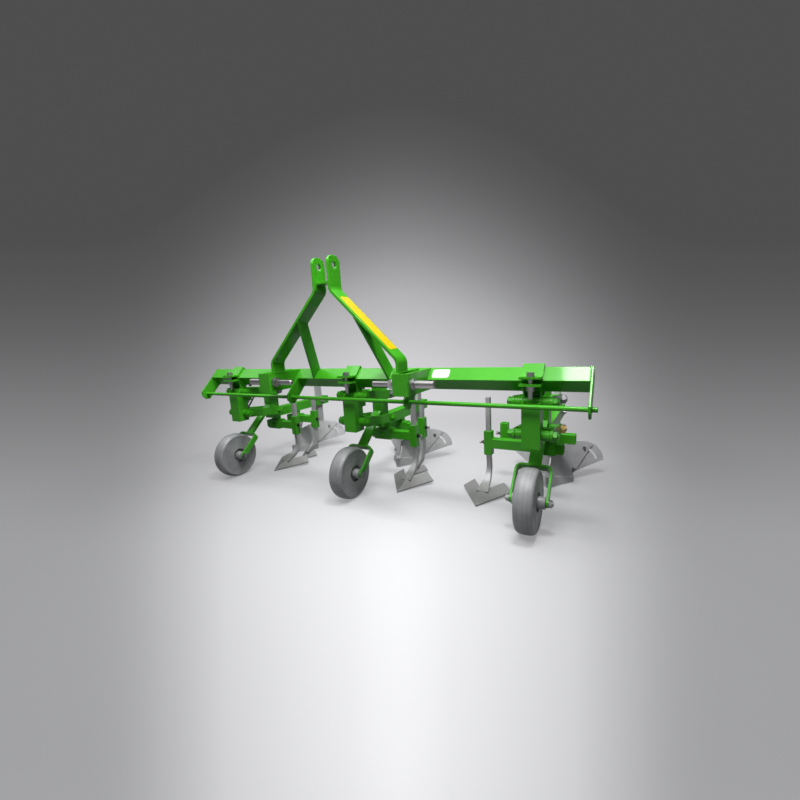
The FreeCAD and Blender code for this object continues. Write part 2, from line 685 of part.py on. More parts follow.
def plan_arc(offset):
    """Board plan line moved back by an offset square to its chord."""
    run = (BOARD_END[0] - BOARD_START[0], BOARD_END[1] - BOARD_START[1])
    length = math.hypot(run[0], run[1])
    shift = (-run[1] / length * offset, run[0] / length * offset)
    return [(p[0] + shift[0], p[1] + shift[1]) for p in (BOARD_START, BOARD_MIDDLE, BOARD_END)]


def board_band(front, back, z0, z1):
    """Leaning curved sheet between two offsets of the plan line."""
    near = plan_arc(front)
    far = plan_arc(back)
    shift = z0 * BOARD_LEAN + AXLE_Y

    def lift(p):
        return V(p[0], p[1] + shift, z0)

    edges = [
        Part.Arc(lift(near[0]), lift(near[1]), lift(near[2])).toShape(),
        Part.makeLine(lift(near[2]), lift(far[2])),
        Part.Arc(lift(far[2]), lift(far[1]), lift(far[0])).toShape(),
        Part.makeLine(lift(far[0]), lift(near[0])),
    ]
    face = Part.Face(Part.Wire(edges))
    tall = z1 - z0
    return face.extrude(V(0, BOARD_LEAN * tall, tall))


def fan_point(angle, along, out=0.0):
    """Point beside a ray from the wing bolt, in front view."""
    a = math.radians(angle)
    return (WING_BOLT[0] + along * math.cos(a) + out * math.sin(a),
            WING_BOLT[1] + along * math.sin(a) - out * math.cos(a))


def fan_disc(radius):
    """Round bar along Y about the wing bolt."""
    start = V(WING_BOLT[0], BOARD_START[1] + AXLE_Y - FAN_R, WING_BOLT[1])
    return Part.makeCylinder(radius, 6.0 * FAN_R, start, V(0, 1, 0))


def fan_cutter(outline):
    """Front view outline drawn out along Y through the boards."""
    return prism_y(outline, BOARD_START[1] - FAN_R, BOARD_START[1] + 5.0 * FAN_R)


def ridge_body():
    """Stem, foot, share and both mouldboards as one weldment."""
    stem_back = RIDGE_STEM_Y + RIDGE_STEM_DEEP
    nose = BOARD_START[1]
    stem = box(-RIDGE_STEM_HALF, RIDGE_STEM_HALF, RIDGE_STEM_Y, stem_back, 40.0, RIDGE_STEM_TOP)
    foot = prism_x([(nose, 14.0), (nose + 150.0, 14.0), (stem_back, 40.0), (stem_back, 95.0),
                    (RIDGE_STEM_Y, 95.0), (nose + 150.0, 70.0), (nose, SHARE_TALL)],
                   -RIDGE_STEM_HALF, RIDGE_STEM_HALF)
    beyond = 2.0 * FAN_R
    outline = [fan_point(BOARD_EDGE_ANGLE, -14.0, BOARD_EDGE_OUT),
               fan_point(BOARD_EDGE_ANGLE, beyond, BOARD_EDGE_OUT),
               (BOARD_START[0], WING_BOLT[1] + beyond), (BOARD_START[0], WING_BOLT[1] + FAN_R / 2.0),
               (SLIT_HALF, SHARE_TALL), (0.0, SHARE_TALL), (0.0, SHARE_END_TALL), (SHARE_OUT - 8.0, 12.0)]
    board = board_band(0.0, BOARD_THICK, 0.0, BOARD_TALL)
    board = board.common(fan_cutter(outline)).common(fan_disc(FAN_R))
    blade = fan_cutter([(0.0, -1.0), (SHARE_OUT, -1.0), (SHARE_OUT - 2.0, SHARE_END_TALL), (0.0, SHARE_TALL)])
    share = board_band(-SHARE_PROUD, SHARE_THICK - SHARE_PROUD, 0.0, SHARE_TALL + 10.0).common(blade)
    keel = [V(-9.0, nose + 5.0, 0.0), V(0.0, nose - 8.0, 0.0), V(9.0, nose + 5.0, 0.0),
            V(9.0, nose + 50.0, 0.0), V(-9.0, nose + 50.0, 0.0)]
    keel = [V(p.x, p.y + AXLE_Y, p.z) for p in keel]
    keel.append(keel[0])
    keel = Part.Face(Part.makePolygon(keel)).extrude(V(0, BOARD_LEAN * SHARE_TALL, SHARE_TALL))
    out = STRUT_OUT
    bar = [V(4.0, RIDGE_STEM_Y + 5.0, STRUT_Z), V(4.0, RIDGE_STEM_Y - 40.0, STRUT_Z),
           V(out - 24.0, nose + 72.0, STRUT_Z), V(out, nose + 72.0, STRUT_Z),
           V(out, nose + 150.0, STRUT_Z), V(12.0, RIDGE_STEM_Y + 5.0, STRUT_Z)]
    bar = [V(p.x, p.y + AXLE_Y, p.z) for p in bar]
    bar.append(bar[0])
    strut = Part.Face(Part.makePolygon(bar)).extrude(V(0, 0, STRUT_THICK))
    strut = strut.common(board_band(BOARD_THICK - 1.0, 220.0, 0.0, BOARD_TALL))
    ahead = board_band(-200.0, 1.0, -5.0, BOARD_TALL)
    foot = foot.cut(ahead).cut(mirror_x(ahead))
    pieces = [foot, keel]
    for item in (board, share, strut):
        pieces.append(item)
        pieces.append(mirror_x(item))
    return stem.multiFuse(pieces).removeSplitter()


def ridge_wing():
    """Right adjustable wing behind the mouldboard, with its curved slot."""
    beyond = 2.0 * FAN_R
    outline = [fan_point(WING_EDGE_ANGLE, -WING_EDGE_OUT, WING_EDGE_OUT),
               fan_point(WING_EDGE_ANGLE, beyond, WING_EDGE_OUT),
               fan_point(BOARD_EDGE_ANGLE, beyond),
               fan_point(WING_BACK_ANGLE, beyond, -WING_EDGE_OUT),
               fan_point(WING_BACK_ANGLE, -WING_EDGE_OUT, -WING_EDGE_OUT)]
    front = BOARD_THICK + BOARD_GAP
    sheet = board_band(front, front + BOARD_THICK, 0.0, BOARD_TALL)
    sheet = sheet.common(fan_cutter(outline)).common(fan_disc(FAN_R))
    half = SLOT_WIDE / 2.0
    sector = fan_cutter([fan_point(SLOT_FROM, 0.0), fan_point(SLOT_FROM, beyond),
                         fan_point((SLOT_FROM + SLOT_TO) / 2.0, beyond), fan_point(SLOT_TO, beyond)])
    slot = fan_disc(SLOT_R + half).cut(fan_disc(SLOT_R - half)).common(sector)
    return sheet.cut(slot)


def build():
    """Make every node in the shared frame."""
    add("toolbar", toolbar())
    rod_y, rod_z = slanted(ROD_REACH, 0.0)
    add("guard_rod", cyl_x(ROD_R, -BAR_HALF_LENGTH - ROD_OUT_LEFT, BAR_HALF_LENGTH + ROD_OUT_RIGHT,
                           rod_y, rod_z))
    add("end_plate_left", rod_plate(-BAR_HALF_LENGTH - PLATE_THICK, True))
    add("end_plate_right", rod_plate(BAR_HALF_LENGTH, True))
    add("rod_plate_left", rod_plate(-INNER_PLATE_X - PLATE_THICK, False))
    add("rod_plate_right", rod_plate(INNER_PLATE_X, False))
    leg = mast_leg()
    add("mast_leg_right", leg)
    add("mast_leg_left", mirror_x(leg))
    brace = mast_brace()
    add("mast_brace_right", brace)
    add("mast_brace_left", mirror_x(brace))
    inner = EAR_X - LEG_THICK / 2.0
    floor = EAR_HOLE_Z - EAR_TALL + SPACER_RISE
    add("mast_spacer", box(-inner, inner, LEG_Y - SPACER_DEPTH / 2.0, LEG_Y + SPACER_DEPTH / 2.0,
                           floor, floor + SPACER_THICK))
    foot = hitch_foot()
    add("hitch_foot_right", foot)
    add("hitch_foot_left", mirror_x(foot))
    pin = hitch_pin()
    add("hitch_pin_right", pin)
    add("hitch_pin_left", mirror_x(pin))
    shapes = {
        "clamp": clamp(), "column": column(), "lower_link": link(PIVOT_LOW_Z),
        "upper_link": link(PIVOT_LOW_Z + PIVOT_GAP), "carrier": carrier(), "wheel_fork": fork(),
        "gauge_wheel": wheel(), "ridge_body": ridge_body(),
    }
    wing = ridge_wing()
    for unit in UNITS:
        x = unit["x"]
        name = unit["name"]
        for key, shape in shapes.items():
            add("%s_%s" % (key, name), move_x(shape, x))
        add("wing_r_%s" % name, move_x(wing, x))
        add("wing_l_%s" % name, move_x(mirror_x(wing), x))
        front = move_x(crossbar(CROSS_FRONT_Y, unit["front"], unit["front_end"]), x)
        rear = move_x(crossbar(CROSS_REAR_Y, unit["rear"], unit["rear_end"]), x)
        add("crossbar_front_%s" % name, front)
        add("crossbar_rear_%s" % name, rear)
        add("tine_front_%s" % name,
            tine(x + unit["front"], CROSS_FRONT_Y, FRONT_TOP, FRONT_FOOT, FRONT_SWEEP))
        if unit["rear_tine"]:
            add("tine_rear_%s" % name,
                tine(x + unit["rear"], CROSS_REAR_Y, REAR_TOP, REAR_FOOT, REAR_SWEEP))


build()
os.makedirs("parts", exist_ok=True)
for node, solid in PARTS.items():
    solid.exportStep("parts/%s.step" % node)
whole = Part.makeCompound(list(PARTS.values()))
size = whole.BoundBox
print(len(PARTS), "nodes", size.XMin, size.XMax, size.YMin, size.YMax, size.ZMin, size.ZMax)
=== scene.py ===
"""Three-row tractor ridger in a plain studio.

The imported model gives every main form.  This script eases its edges, gives each
part its finish and adds what the model leaves out: bolts, nuts, set screws, weld
beads, the turned wheels, the linkage stops and the blank stickers.

Sizes are in millimetres and turn to metres in one place.  X runs along the
toolbar, Y to the rear and Z up.  Y is first given from the gauge wheel axle.
"""
import logging
import math
from dataclasses import asdict, dataclass, field
from enum import Enum
from typing import Callable, Mapping, Sequence

import bmesh
import bpy
from bmesh.types import BMesh, BMVert
from bpy.types import Material, Mesh, Node, NodeSocket, NodeTree, Object
from mathutils import Matrix, Vector


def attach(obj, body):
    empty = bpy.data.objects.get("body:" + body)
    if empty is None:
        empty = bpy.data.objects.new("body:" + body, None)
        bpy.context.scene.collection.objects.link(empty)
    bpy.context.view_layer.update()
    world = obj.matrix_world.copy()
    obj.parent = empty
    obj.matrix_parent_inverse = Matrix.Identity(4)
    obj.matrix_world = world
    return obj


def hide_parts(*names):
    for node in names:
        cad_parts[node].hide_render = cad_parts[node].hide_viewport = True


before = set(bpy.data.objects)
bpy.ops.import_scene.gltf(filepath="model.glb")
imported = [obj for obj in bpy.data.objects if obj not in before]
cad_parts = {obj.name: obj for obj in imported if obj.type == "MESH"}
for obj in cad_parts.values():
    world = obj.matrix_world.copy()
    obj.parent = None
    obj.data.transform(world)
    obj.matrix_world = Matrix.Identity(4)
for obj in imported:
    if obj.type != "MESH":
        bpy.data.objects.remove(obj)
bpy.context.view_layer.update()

MM = 0.001
AXLE_Y = -320.7
SIDES = (-1.0, 1.0)
ROOT = math.sqrt(0.5)
log = logging.getLogger("ridger")

Point = tuple[float, float, float]


def at(x: float, y: float, z: float) -> Vector:
    """Point in metres of a place in millimetres, Y from the wheel axle."""
    return Vector((x, y + AXLE_Y, z)) * MM


def srgb(code: str) -> tuple[float, float, float, float]:
    """Linear colour of a hex colour.

    Args:
        code: sRGB colour such as "#30A01A".

    Returns:
        Red, green, blue and an alpha of 1.
    """
    raw = [int(code[i:i + 2], 16) / 255.0 for i in (1, 3, 5)]
    flat = [v / 12.92 if v <= 0.04045 else ((v + 0.055) / 1.055) ** 2.4 for v in raw]
    return flat[0], flat[1], flat[2], 1.0


def node(tree: NodeTree, kind: str, links: dict | None = None, **settings: object) -> Node:
    """Adds one node with its settings and links.

    Args:
        tree: Shader or geometry tree that gets the node.
        kind: Blender's name of the node type.
        links: Input name or number with its value, or with the output that feeds it.  A node
            stands for its first output.
        settings: Properties of the node itself.

    Returns:
        The new node.
    """
    made = tree.nodes.new(kind)
    for key, value in settings.items():
        setattr(made, key, value)
    for key, value in (links or {}).items():
        value = value.outputs[0] if isinstance(value, Node) else value
        if isinstance(value, NodeSocket):
            tree.links.new(value, made.inputs[key])
        else:
            made.inputs[key].default_value = value
    return made


class Slot(Enum):
    """Finish slots of the record."""

    GREEN = "green_paint"
    TOOL = "tool_steel"
    WHEEL = "wheel_steel"
    ZINC = "zinc"


@dataclass(frozen=True)
class Finish:
    """What every finish has: its name, its slot in the record, two colours and its roughness."""

    name: str
    slot: Slot
    colour: str = "#FFFFFF"
    shade: str = "#FFFFFF"
    roughness: float = 0.5

    def start(self, *noises: tuple[float, float, float]) -> list:
        """Opens an empty material.

        Args:
            noises: Cells per metre, detail and roughness of each noise it starts with.

        Returns:
            The material, its tree, the Object coordinate output and a node for each noise.
        """
        made = bpy.data.materials.new(self.name)
        made.use_nodes = True
        tree = made.node_tree
        tree.nodes.clear()
        place = node(tree, "ShaderNodeTexCoord").outputs["Object"]
        return [made, tree, place] + [
            node(tree, "ShaderNodeTexNoise", {"Vector": place, "Scale": scale, "Detail": detail, "Roughness": rough})
            for scale, detail, rough in noises]

    def mottle(self, tree: NodeTree, value: Node, low: float = 0.0, high: float = 1.0) -> NodeSocket:
        """Lets the colour turn to its shade where a noise is high.

        Args:
            tree: The material's tree.
            value: Node with the noise.
            low: Value up to which the plain colour shows.
            high: Value from which the shade shows.

        Returns:
            The colour output.
        """
        share = node(tree, "ShaderNodeMapRange", {"Value": value, "From Min": low, "From Max": high})
        return node(tree, "ShaderNodeMix", {0: share, 6: srgb(self.colour), 7: srgb(self.shade)},
                    data_type="RGBA").outputs[2]

    def coat(self, made: Material, tone: NodeSocket, gloss: tuple[Node, float, float, float, float],
             relief: tuple[Node, float, float], **more: float) -> Material:
        """Ends a material with a surface of uneven gloss and fine relief.

        Args:
            made: The material.
            tone: Colour output.
            gloss: Noise, its low and high end, and how far roughness falls and rises there.
            relief: Height, strength of the bump and its depth in millimetres.
            more: Further values of the shader, underscores for the blanks in their names.

        Returns:
            The finished material.
        """
        tree, (noise, low, high, less, plus), (height, strength, deep_mm) = made.node_tree, gloss, relief
        rough = node(tree, "ShaderNodeMapRange", {
            "Value": noise, "From Min": low, "From Max": high, "To Min": self.roughness - less,
            "To Max": self.roughness + plus})
        bump = node(tree, "ShaderNodeBump", {"Height": height, "Strength": strength, "Distance": deep_mm * MM})
        return self.close(made, node(tree, "ShaderNodeBsdfPrincipled", {
            "Base Color": tone, "Roughness": rough, "Normal": bump,
            **{key.replace("_", " "): value for key, value in more.items()}}))

    def close(self, made: Material, shader: Node) -> Material:
        """Links the shader to the surface and returns the material."""
        node(made.node_tree, "ShaderNodeOutputMaterial", {"Surface": shader}, is_active_output=True)
        return made


@dataclass(frozen=True)
class GlossEnamel(Finish):
    """Air-dried gloss enamel sprayed on primed steel.

    The spray leaves a fine orange peel of about 3 mm and a slightly deeper colour
    where the coat is thick, so the gloss is broad and a little uneven.
    """

    colour: str = "#4AB325"
    shade: str = "#40A61C"
    roughness: float = 0.36
    peel_mm: float = 3.0
    cloud_mm: float = 140.0
    dust_per_m: float = 45.0

    def make(self) -> Material:
        """Builds the enamel and returns it."""
        made, tree, _, cloud, dust, peel = self.start(
            (1000.0 / self.cloud_mm, 4.0, 0.5), (self.dust_per_m, 5.0, 0.5), (1000.0 / self.peel_mm, 2.0, 0.5))
        return self.coat(made, self.mottle(tree, cloud, 0.35, 0.7), (dust, 0.3, 0.7, 0.05, 0.09), (peel, 0.25, 0.3),
                         Specular_IOR_Level=0.1, Coat_Weight=0.28, Coat_Roughness=0.09)


@dataclass(frozen=True)
class SilverLacquer(Finish):
    """Shot-blasted steel under one thin coat of aluminium lacquer.

    Blasting leaves pits under a millimetre, drawn at 1.6 mm so that they show.  The
    lacquer is thinner in places, where the darker steel comes through as a faint
    cloud.  Flakes in a binder shine less than bare metal, hence the low metallic.
    Sweeps, up to their own height, are left forged: darker and speckled.
    """

    colour: str = "#BEBEBF"
    shade: str = "#A4A4A6"
    roughness: float = 0.48
    metallic: float = 0.3
    pit_mm: float = 1.6
    cloud_mm: float = 60.0
    speck_per_m: float = 260.0
    forged_mm: float = 0.0
    forged_fade_mm: float = 12.0
    forged: str = "#8F8F8E"

    def make(self) -> Material:
        """Builds the lacquered steel.

        Returns:
            The material.
        """
        made, tree, place, cloud, pit, speck = self.start(
            (1000.0 / self.cloud_mm, 6.0, 0.6), (1000.0 / self.pit_mm, 3.0, 0.5), (self.speck_per_m, 3.0, 0.5))
        height = node(tree, "ShaderNodeSeparateXYZ", {"Vector": place})
        low, grain = (
            node(tree, "ShaderNodeMapRange", {"Value": value, "From Min": least, "From Max": most, "To Min": floor})
            for value, least, most, floor in (
                (height.outputs[2], self.forged_mm * MM, (self.forged_mm - self.forged_fade_mm) * MM, 0.0),
                (speck, 0.3, 0.7, 0.55)))
        part = node(tree, "ShaderNodeMath", {0: low, 1: grain}, operation="MULTIPLY")
        tone = node(tree, "ShaderNodeMix", {0: part, 6: self.mottle(tree, cloud, 0.4, 0.75), 7: srgb(self.forged)},
                    data_type="RGBA")
        return self.coat(made, tone.outputs[2], (cloud, 0.3, 0.7, 0.05, 0.1), (pit, 0.4, 0.3),
                         Metallic=self.metallic)


@dataclass(frozen=True)
class TurnedSteel(Finish):
    """Rolled steel wheel, turned on a lathe and oiled: fine rings round the axle.

    The tool marks are about 0.4 mm apart and drawn at 2.5 mm to show at all.  The
    film of oil and dust dulls the metal, hence the partly metallic share.
    """

    colour: str = "#A3A4A6"
    shade: str = "#848587"
    roughness: float = 0.46
    metallic: float = 0.12
    ring_mm: float = 2.5
    cloud_per_m: float = 22.0
    axle_z: float = 112.0

    def make(self) -> Material:
        """Builds the turned steel.

        Returns:
            The material.
        """
        made, tree, place, cloud = self.start((self.cloud_per_m, 6.0, 0.6))
        arm = node(tree, "ShaderNodeVectorMath", {0: place, 1: at(0.0, 0.0, self.axle_z)}, operation="SUBTRACT")
        flat = node(tree, "ShaderNodeVectorMath", {0: arm, 1: (0.0, 1.0, 1.0)}, operation="MULTIPLY")
        radius = node(tree, "ShaderNodeVectorMath", {0: flat}, operation="LENGTH")
        axis = node(tree, "ShaderNodeSeparateXYZ", {0: place})
        line = node(tree, "ShaderNodeCombineXYZ", {0: axis, 1: radius.outputs["Value"]})
        rings = node(tree, "ShaderNodeTexNoise", {"Vector": line, "Scale": 1000.0 / self.ring_mm, "Detail": 2.0})
        both = node(tree, "ShaderNodeMath", {0: rings, 1: cloud}, operation="MULTIPLY")
        return self.coat(made, self.mottle(tree, both, 0.15, 0.42), (cloud, 0.3, 0.7, 0.07, 0.1), (rings, 0.3, 0.3),
                         Metallic=self.metallic)


@dataclass(frozen=True)
class PlatedSteel(Finish):
    """Zinc-plated steel: bright, with a soft cloudy tint of the passivation."""

    colour: str = "#ABABAF"
    shade: str = "#969490"
    roughness: float = 0.38
    cloud_per_m: float = 60.0
    grain_per_m: float = 700.0

    def make(self) -> Material:
        """Builds the plating and returns it."""
        made, tree, _, cloud, grain = self.start((self.cloud_per_m, 4.0, 0.5), (self.grain_per_m, 2.0, 0.5))
        return self.coat(made, self.mottle(tree, cloud), (grain, 0.0, 1.0, 0.06, 0.14), (grain, 0.2, 0.2),
                         Metallic=1.0)


@dataclass(frozen=True)
class StickerFilm(Finish):
    """Blank self-adhesive vinyl film with a soft sheen and a slight ripple."""

    colour: str = "#ECCB0A"
    shade: str = "#E2B606"
    roughness: float = 0.32
    ripple_per_m: float = 30.0

    def make(self) -> Material:
        """Builds the film and returns it."""
        made, tree, _, cloud = self.start((self.ripple_per_m, 3.0, 0.5))
        return self.coat(made, self.mottle(tree, cloud), (cloud, 0.0, 1.0, 0.0, 0.0), (cloud, 0.1, 1.0))


@dataclass(frozen=True)
class PaintedLightPool:
    """Painted pool of light on the paper sweep: palest before the machine, dark far off.

    The tone depends on the direction from one fixed spot in the room, so that floor
    and backdrop take the same tone where they meet.  Tones follow the distance from the
    middle of the pool.  Where the direction is turned away from the fixed view (cosine)
    or lies below it (slope), the tone fades to a plain grey.
    """

    spot: Point = (1.0016, -1.5888, 0.69)
    ahead: Point = (-0.4925, 0.8540, -0.1676)
    right: Point = (0.8696, 0.4906, -0.0555)
    up: Point = (-0.0348, 0.1731, 0.9843)
    middle: tuple[float, float] = (0.0, -0.40)
    flat: float = 1.12
    widest: float = 0.74
    easing: float = 0.25
    curve: float = 1.7
    reach: float = 1.2
    turned: tuple[float, float] = (0.54, 0.12)
    below: tuple[float, float] = (-0.85, -2.2)
    # Painted fall-off of the light: each stop is a share of the way out from the middle and the grey painted there.
    tones: tuple[tuple[float, float], ...] = ((0.0, 0.88), (0.12, 0.83), (0.42, 0.62), (0.56, 0.46), (0.67, 0.26),
                                              (0.81, 0.12), (0.95, 0.078))

    def tone(self, tree: NodeTree, way: NodeSocket, aside: float) -> NodeSocket:
        """Adds the nodes of the painted pool of light.

        Args:
            tree: Material or world tree.
            way: Vector from the fixed spot to the shaded point.
            aside: Plain grey far to the side of the pool, the painted dimness where its light has faded.

        Returns:
            The colour output.
        """
        got: dict[str | float, NodeSocket] = {}
        for key, axis in (("deep", self.ahead), ("wide", self.right), ("tall", self.up)):
            got[key] = node(tree, "ShaderNodeVectorMath", {0: way, 1: axis}, operation="DOT_PRODUCT").outputs["Value"]
        got["run"] = node(tree, "ShaderNodeVectorMath", {0: way}, operation="LENGTH").outputs["Value"]
        for key, operation, *terms in (
                ("safe", "MAXIMUM", "deep", 0.05), ("u", "DIVIDE", "wide", "safe"), ("v", "DIVIDE", "tall", "safe"),
                ("off", "SUBTRACT", "u", self.middle[0]), ("side", "ABSOLUTE", "off"),
                ("wider", "MULTIPLY", "side", self.flat), ("across", "SMOOTH_MIN", "wider", self.widest, self.easing),
                ("rise", "SUBTRACT", "v", self.middle[1]), ("above", "MAXIMUM", "rise", 0.0),
                ("bent", "POWER", "across", self.curve), ("bowed", "POWER", "above", self.curve),
                ("total", "ADD", "bent", "bowed"), ("far", "POWER", "total", 1.0 / self.curve),
                ("share", "DIVIDE", "far", self.reach), ("facing", "DIVIDE", "deep", "run")):
            inputs = {i: got.get(term, term) for i, term in enumerate(terms)}
            got[key] = node(tree, "ShaderNodeMath", inputs, operation=operation).outputs[0]
        ramp = node(tree, "ShaderNodeValToRGB", {0: got["share"]})
        stops = ramp.color_ramp.elements
        for i, (place, grey) in enumerate(self.tones):
            stop = stops[i] if i < 2 else stops.new(place)
            stop.position = place
            stop.color = (grey * 0.99, grey * 0.99, grey * 1.015, 1.0)
        ramp.color_ramp.interpolation = "B_SPLINE"
        beyond, low = (
            node(tree, "ShaderNodeMapRange", {"Value": got[key], "From Min": start, "From Max": stop},
                 interpolation_type="SMOOTHSTEP").outputs[0]
            for key, (start, stop) in (("facing", self.turned), ("v", self.below)))
        plain = node(tree, "ShaderNodeMath", {0: beyond, 1: low}, operation="MAXIMUM")
        grey = (aside, aside, aside * 1.02, 1.0)
        return node(tree, "ShaderNodeMix", {0: plain, 6: ramp, 7: grey}, data_type="RGBA").outputs[2]


@dataclass(frozen=True)
class PaleGround(Finish):
    """Matt pale paper floor in the painted pool of light.  It takes shadows near the machine, partly lit by its
    painted glow, and fades into the backdrop.

    The eye and mirrors see the pale paper.  Soft bounced light sees a darker one, which
    keeps the undersides as deep as on the photograph.
    """

    bounce: str = "#48484A"
    roughness: float = 0.85
    sheen: float = 0.2
    near: float = 0.8
    gone: float = 2.0
    level: float = 0.87
    # Least share of the painted glow near the machine: painted light that softens the floor's shadows.
    lift: float = 0.4
    # Grey of the floor far to the side, where the painted pool of light has faded.
    aside: float = 0.5
    pool: PaintedLightPool = field(default_factory=PaintedLightPool)

    def make(self) -> Material:
        """Builds the ground.

        Returns:
            The material.
        """
        made, tree, place = self.start()
        way = node(tree, "ShaderNodeVectorMath", {0: place, 1: self.pool.spot}, operation="SUBTRACT")
        # Painted pool of light: the floor's colour near the machine and its glow further off.
        tone = self.pool.tone(tree, way.outputs[0], self.aside)
        path = node(tree, "ShaderNodeLightPath")
        seen = node(tree, "ShaderNodeMath", {0: path.outputs["Is Camera Ray"], 1: path.outputs["Is Glossy Ray"]},
                    operation="ADD")
        paper = node(tree, "ShaderNodeMix", {0: seen, 6: srgb(self.bounce), 7: tone}, data_type="RGBA")
        lit = node(tree, "ShaderNodeVectorMath", {0: paper.outputs[2], "Scale": self.level}, operation="SCALE")
        matt = node(tree, "ShaderNodeBsdfPrincipled", {
            "Base Color": lit, "Roughness": self.roughness, "Specular IOR Level": self.sheen})
        painted_pool_glow = node(tree, "ShaderNodeEmission", {"Color": tone, "Strength": 1.0})
        # The painted glow takes over with distance, and near the machine it keeps the share lift, painting light into
        # the shadows.
        far = node(tree, "ShaderNodeVectorMath", {0: place}, operation="LENGTH")
        fade = node(tree, "ShaderNodeMapRange", {
            "Value": far.outputs["Value"], "From Min": self.near, "From Max": self.gone, "To Min": self.lift},
            interpolation_type="SMOOTHSTEP")
        share = node(tree, "ShaderNodeMath", {0: fade, 1: seen}, operation="MULTIPLY")
        shader = node(tree, "ShaderNodeMixShader", {0: share, 1: matt, 2: painted_pool_glow})
        return self.close(made, shader)


@dataclass
class Paintbox:
    """All finishes of the machine, built once."""

    enamel: Material = field(default_factory=GlossEnamel("gloss_enamel", Slot.GREEN).make)
    tool: Material = field(default_factory=SilverLacquer(
        "silver_lacquered_steel", Slot.TOOL, colour="#CECED0", shade="#B4B4B6", metallic=0.15).make)
    tine: Material = field(default_factory=SilverLacquer(
        "lacquered_shank_forged_sweep", Slot.TOOL, forged_mm=62.0).make)
    wheel: Material = field(default_factory=TurnedSteel("turned_steel", Slot.WHEEL).make)
    zinc: Material = field(default_factory=PlatedSteel("zinc_plate", Slot.ZINC).make)
    chromate: Material = field(default_factory=PlatedSteel(
        "yellow_chromate", Slot.ZINC, colour="#B79B5E", shade="#8F7F55").make)
    black: Material = field(default_factory=PlatedSteel(
        "black_oxide", Slot.ZINC, colour="#4C4C4D", shade="#39393A", roughness=0.42).make)
    dull: Material = field(default_factory=PlatedSteel(
        "weathered_zinc", Slot.ZINC, colour="#8C8C8E", shade="#757477", roughness=0.5).make)
    yellow: Material = field(default_factory=StickerFilm("yellow_vinyl", Slot.GREEN).make)
    white: Material = field(default_factory=StickerFilm(
        "white_vinyl", Slot.GREEN, colour="#DCDCDA", shade="#D2D2CF").make)
    ground: Material = field(default_factory=PaleGround("pale_ground", Slot.GREEN).make)


def put(name: str, data: object) -> Object:
    """Makes an object in the scene.

    Args:
        name: Its name.
        data: Its mesh, camera or light.

    Returns:
        The object.
    """
    made = bpy.data.objects.new(name, data)
    bpy.context.scene.collection.objects.link(made)
    return made


def settle(obj: Object, body: str) -> None:
    """Lets a finished piece ride on a body.

    Args:
        obj: The piece, in place.
        body: Name of the body that carries it.
    """
    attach(obj, body)
    log.info("%s on %s, %d faces", obj.name, body, len(obj.data.polygons))


def piece(name: str, mesh: BMesh, material: Material, angle: float = 35.0) -> Object:
    """Turns a mesh under construction into an object.

    Args:
        name: Name of the piece.
        mesh: Its mesh, freed here.
        material: Its finish.
        angle: Edges flatter than this many degrees are shaded smooth.

    Returns:
        The object, not yet riding on a body.
    """
    bmesh.ops.recalc_face_normals(mesh, faces=mesh.faces[:])
    data = bpy.data.meshes.new(name)
    mesh.to_mesh(data)
    mesh.free()
    data.materials.append(material)
    data.shade_smooth()
    data.set_sharp_from_angle(angle=math.radians(angle))
    return put(name, data)


def geometry_tree(name: str, sizes: dict[str, float], painted: bool = True) -> tuple[NodeTree, Mapping]:
    """Starts a geometry tree with its inputs and its output.

    Args:
        name: Name of the tree.
        sizes: Number inputs with their defaults.
        painted: Whether it takes a material too.

    Returns:
        The tree and the sockets of its inputs by name.
    """
    tree = bpy.data.node_groups.new(name, "GeometryNodeTree")
    tree.interface.new_socket("Geometry", in_out="INPUT", socket_type="NodeSocketGeometry")
    for key, value in sizes.items():
        tree.interface.new_socket(key, in_out="INPUT", socket_type="NodeSocketFloat").default_value = value
    if painted:
        tree.interface.new_socket("Material", in_out="INPUT", socket_type="NodeSocketMaterial")
    tree.interface.new_socket("Geometry", in_out="OUTPUT", socket_type="NodeSocketGeometry")
    return tree, node(tree, "NodeGroupInput").outputs


def easing_tree() -> NodeTree:
    """Makes the geometry tree that shades a solid smooth apart from its real creases.

    Returns:
        The tree.
    """
    tree, given = geometry_tree("ease_shading", {"Crease": math.radians(50.0)}, painted=False)
    smooth = node(tree, "GeometryNodeSetShadeSmooth", {"Geometry": given["Geometry"], "Shade Smooth": True},
                  domain="FACE")
    angle = node(tree, "GeometryNodeInputMeshEdgeAngle")
    sharp = node(tree, "FunctionNodeCompare", {0: angle, 1: given["Crease"]},
                 operation="GREATER_THAN", data_type="FLOAT")
    edges = node(tree, "GeometryNodeSetShadeSmooth", {"Geometry": smooth, "Selection": sharp, "Shade Smooth": False},
                 domain="EDGE")
    node(tree, "NodeGroupOutput", {0: edges})
    return tree


@dataclass
class EdgeEaser:
    """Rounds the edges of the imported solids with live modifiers."""

    radius: float = 1.6
    segments: int = 2
    tree: NodeTree = field(default_factory=easing_tree)

    def dress(self, name: str, material: Material, radius: float | None = None) -> None:
        """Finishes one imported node.

        Args:
            name: Node to finish.
            material: Its finish.
            radius: Edge radius in millimetres, or the usual one.
        """
        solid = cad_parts[name]
        for place in solid.material_slots:
            place.material = material
        if not solid.material_slots:
            solid.data.materials.append(material)
        for key, kind, settings in (
                ("weld", "WELD", {"merge_threshold": 0.00001}),
                ("flat", "DECIMATE", {"decimate_type": "DISSOLVE", "angle_limit": math.radians(0.6)}),
                ("ease", "BEVEL", {"width": (radius or self.radius) * MM, "segments": self.segments,
                                   "limit_method": "ANGLE", "angle_limit": math.radians(32.0),
                                   "use_clamp_overlap": True}),
                ("shade", "NODES", {"node_group": self.tree}),
                ("even", "WEIGHTED_NORMAL", {"keep_sharp": True, "weight": 90})):
            made = solid.modifiers.new(key, kind)
            for setting, value in settings.items():
                setattr(made, setting, value)
        log.info("%s eased", name)


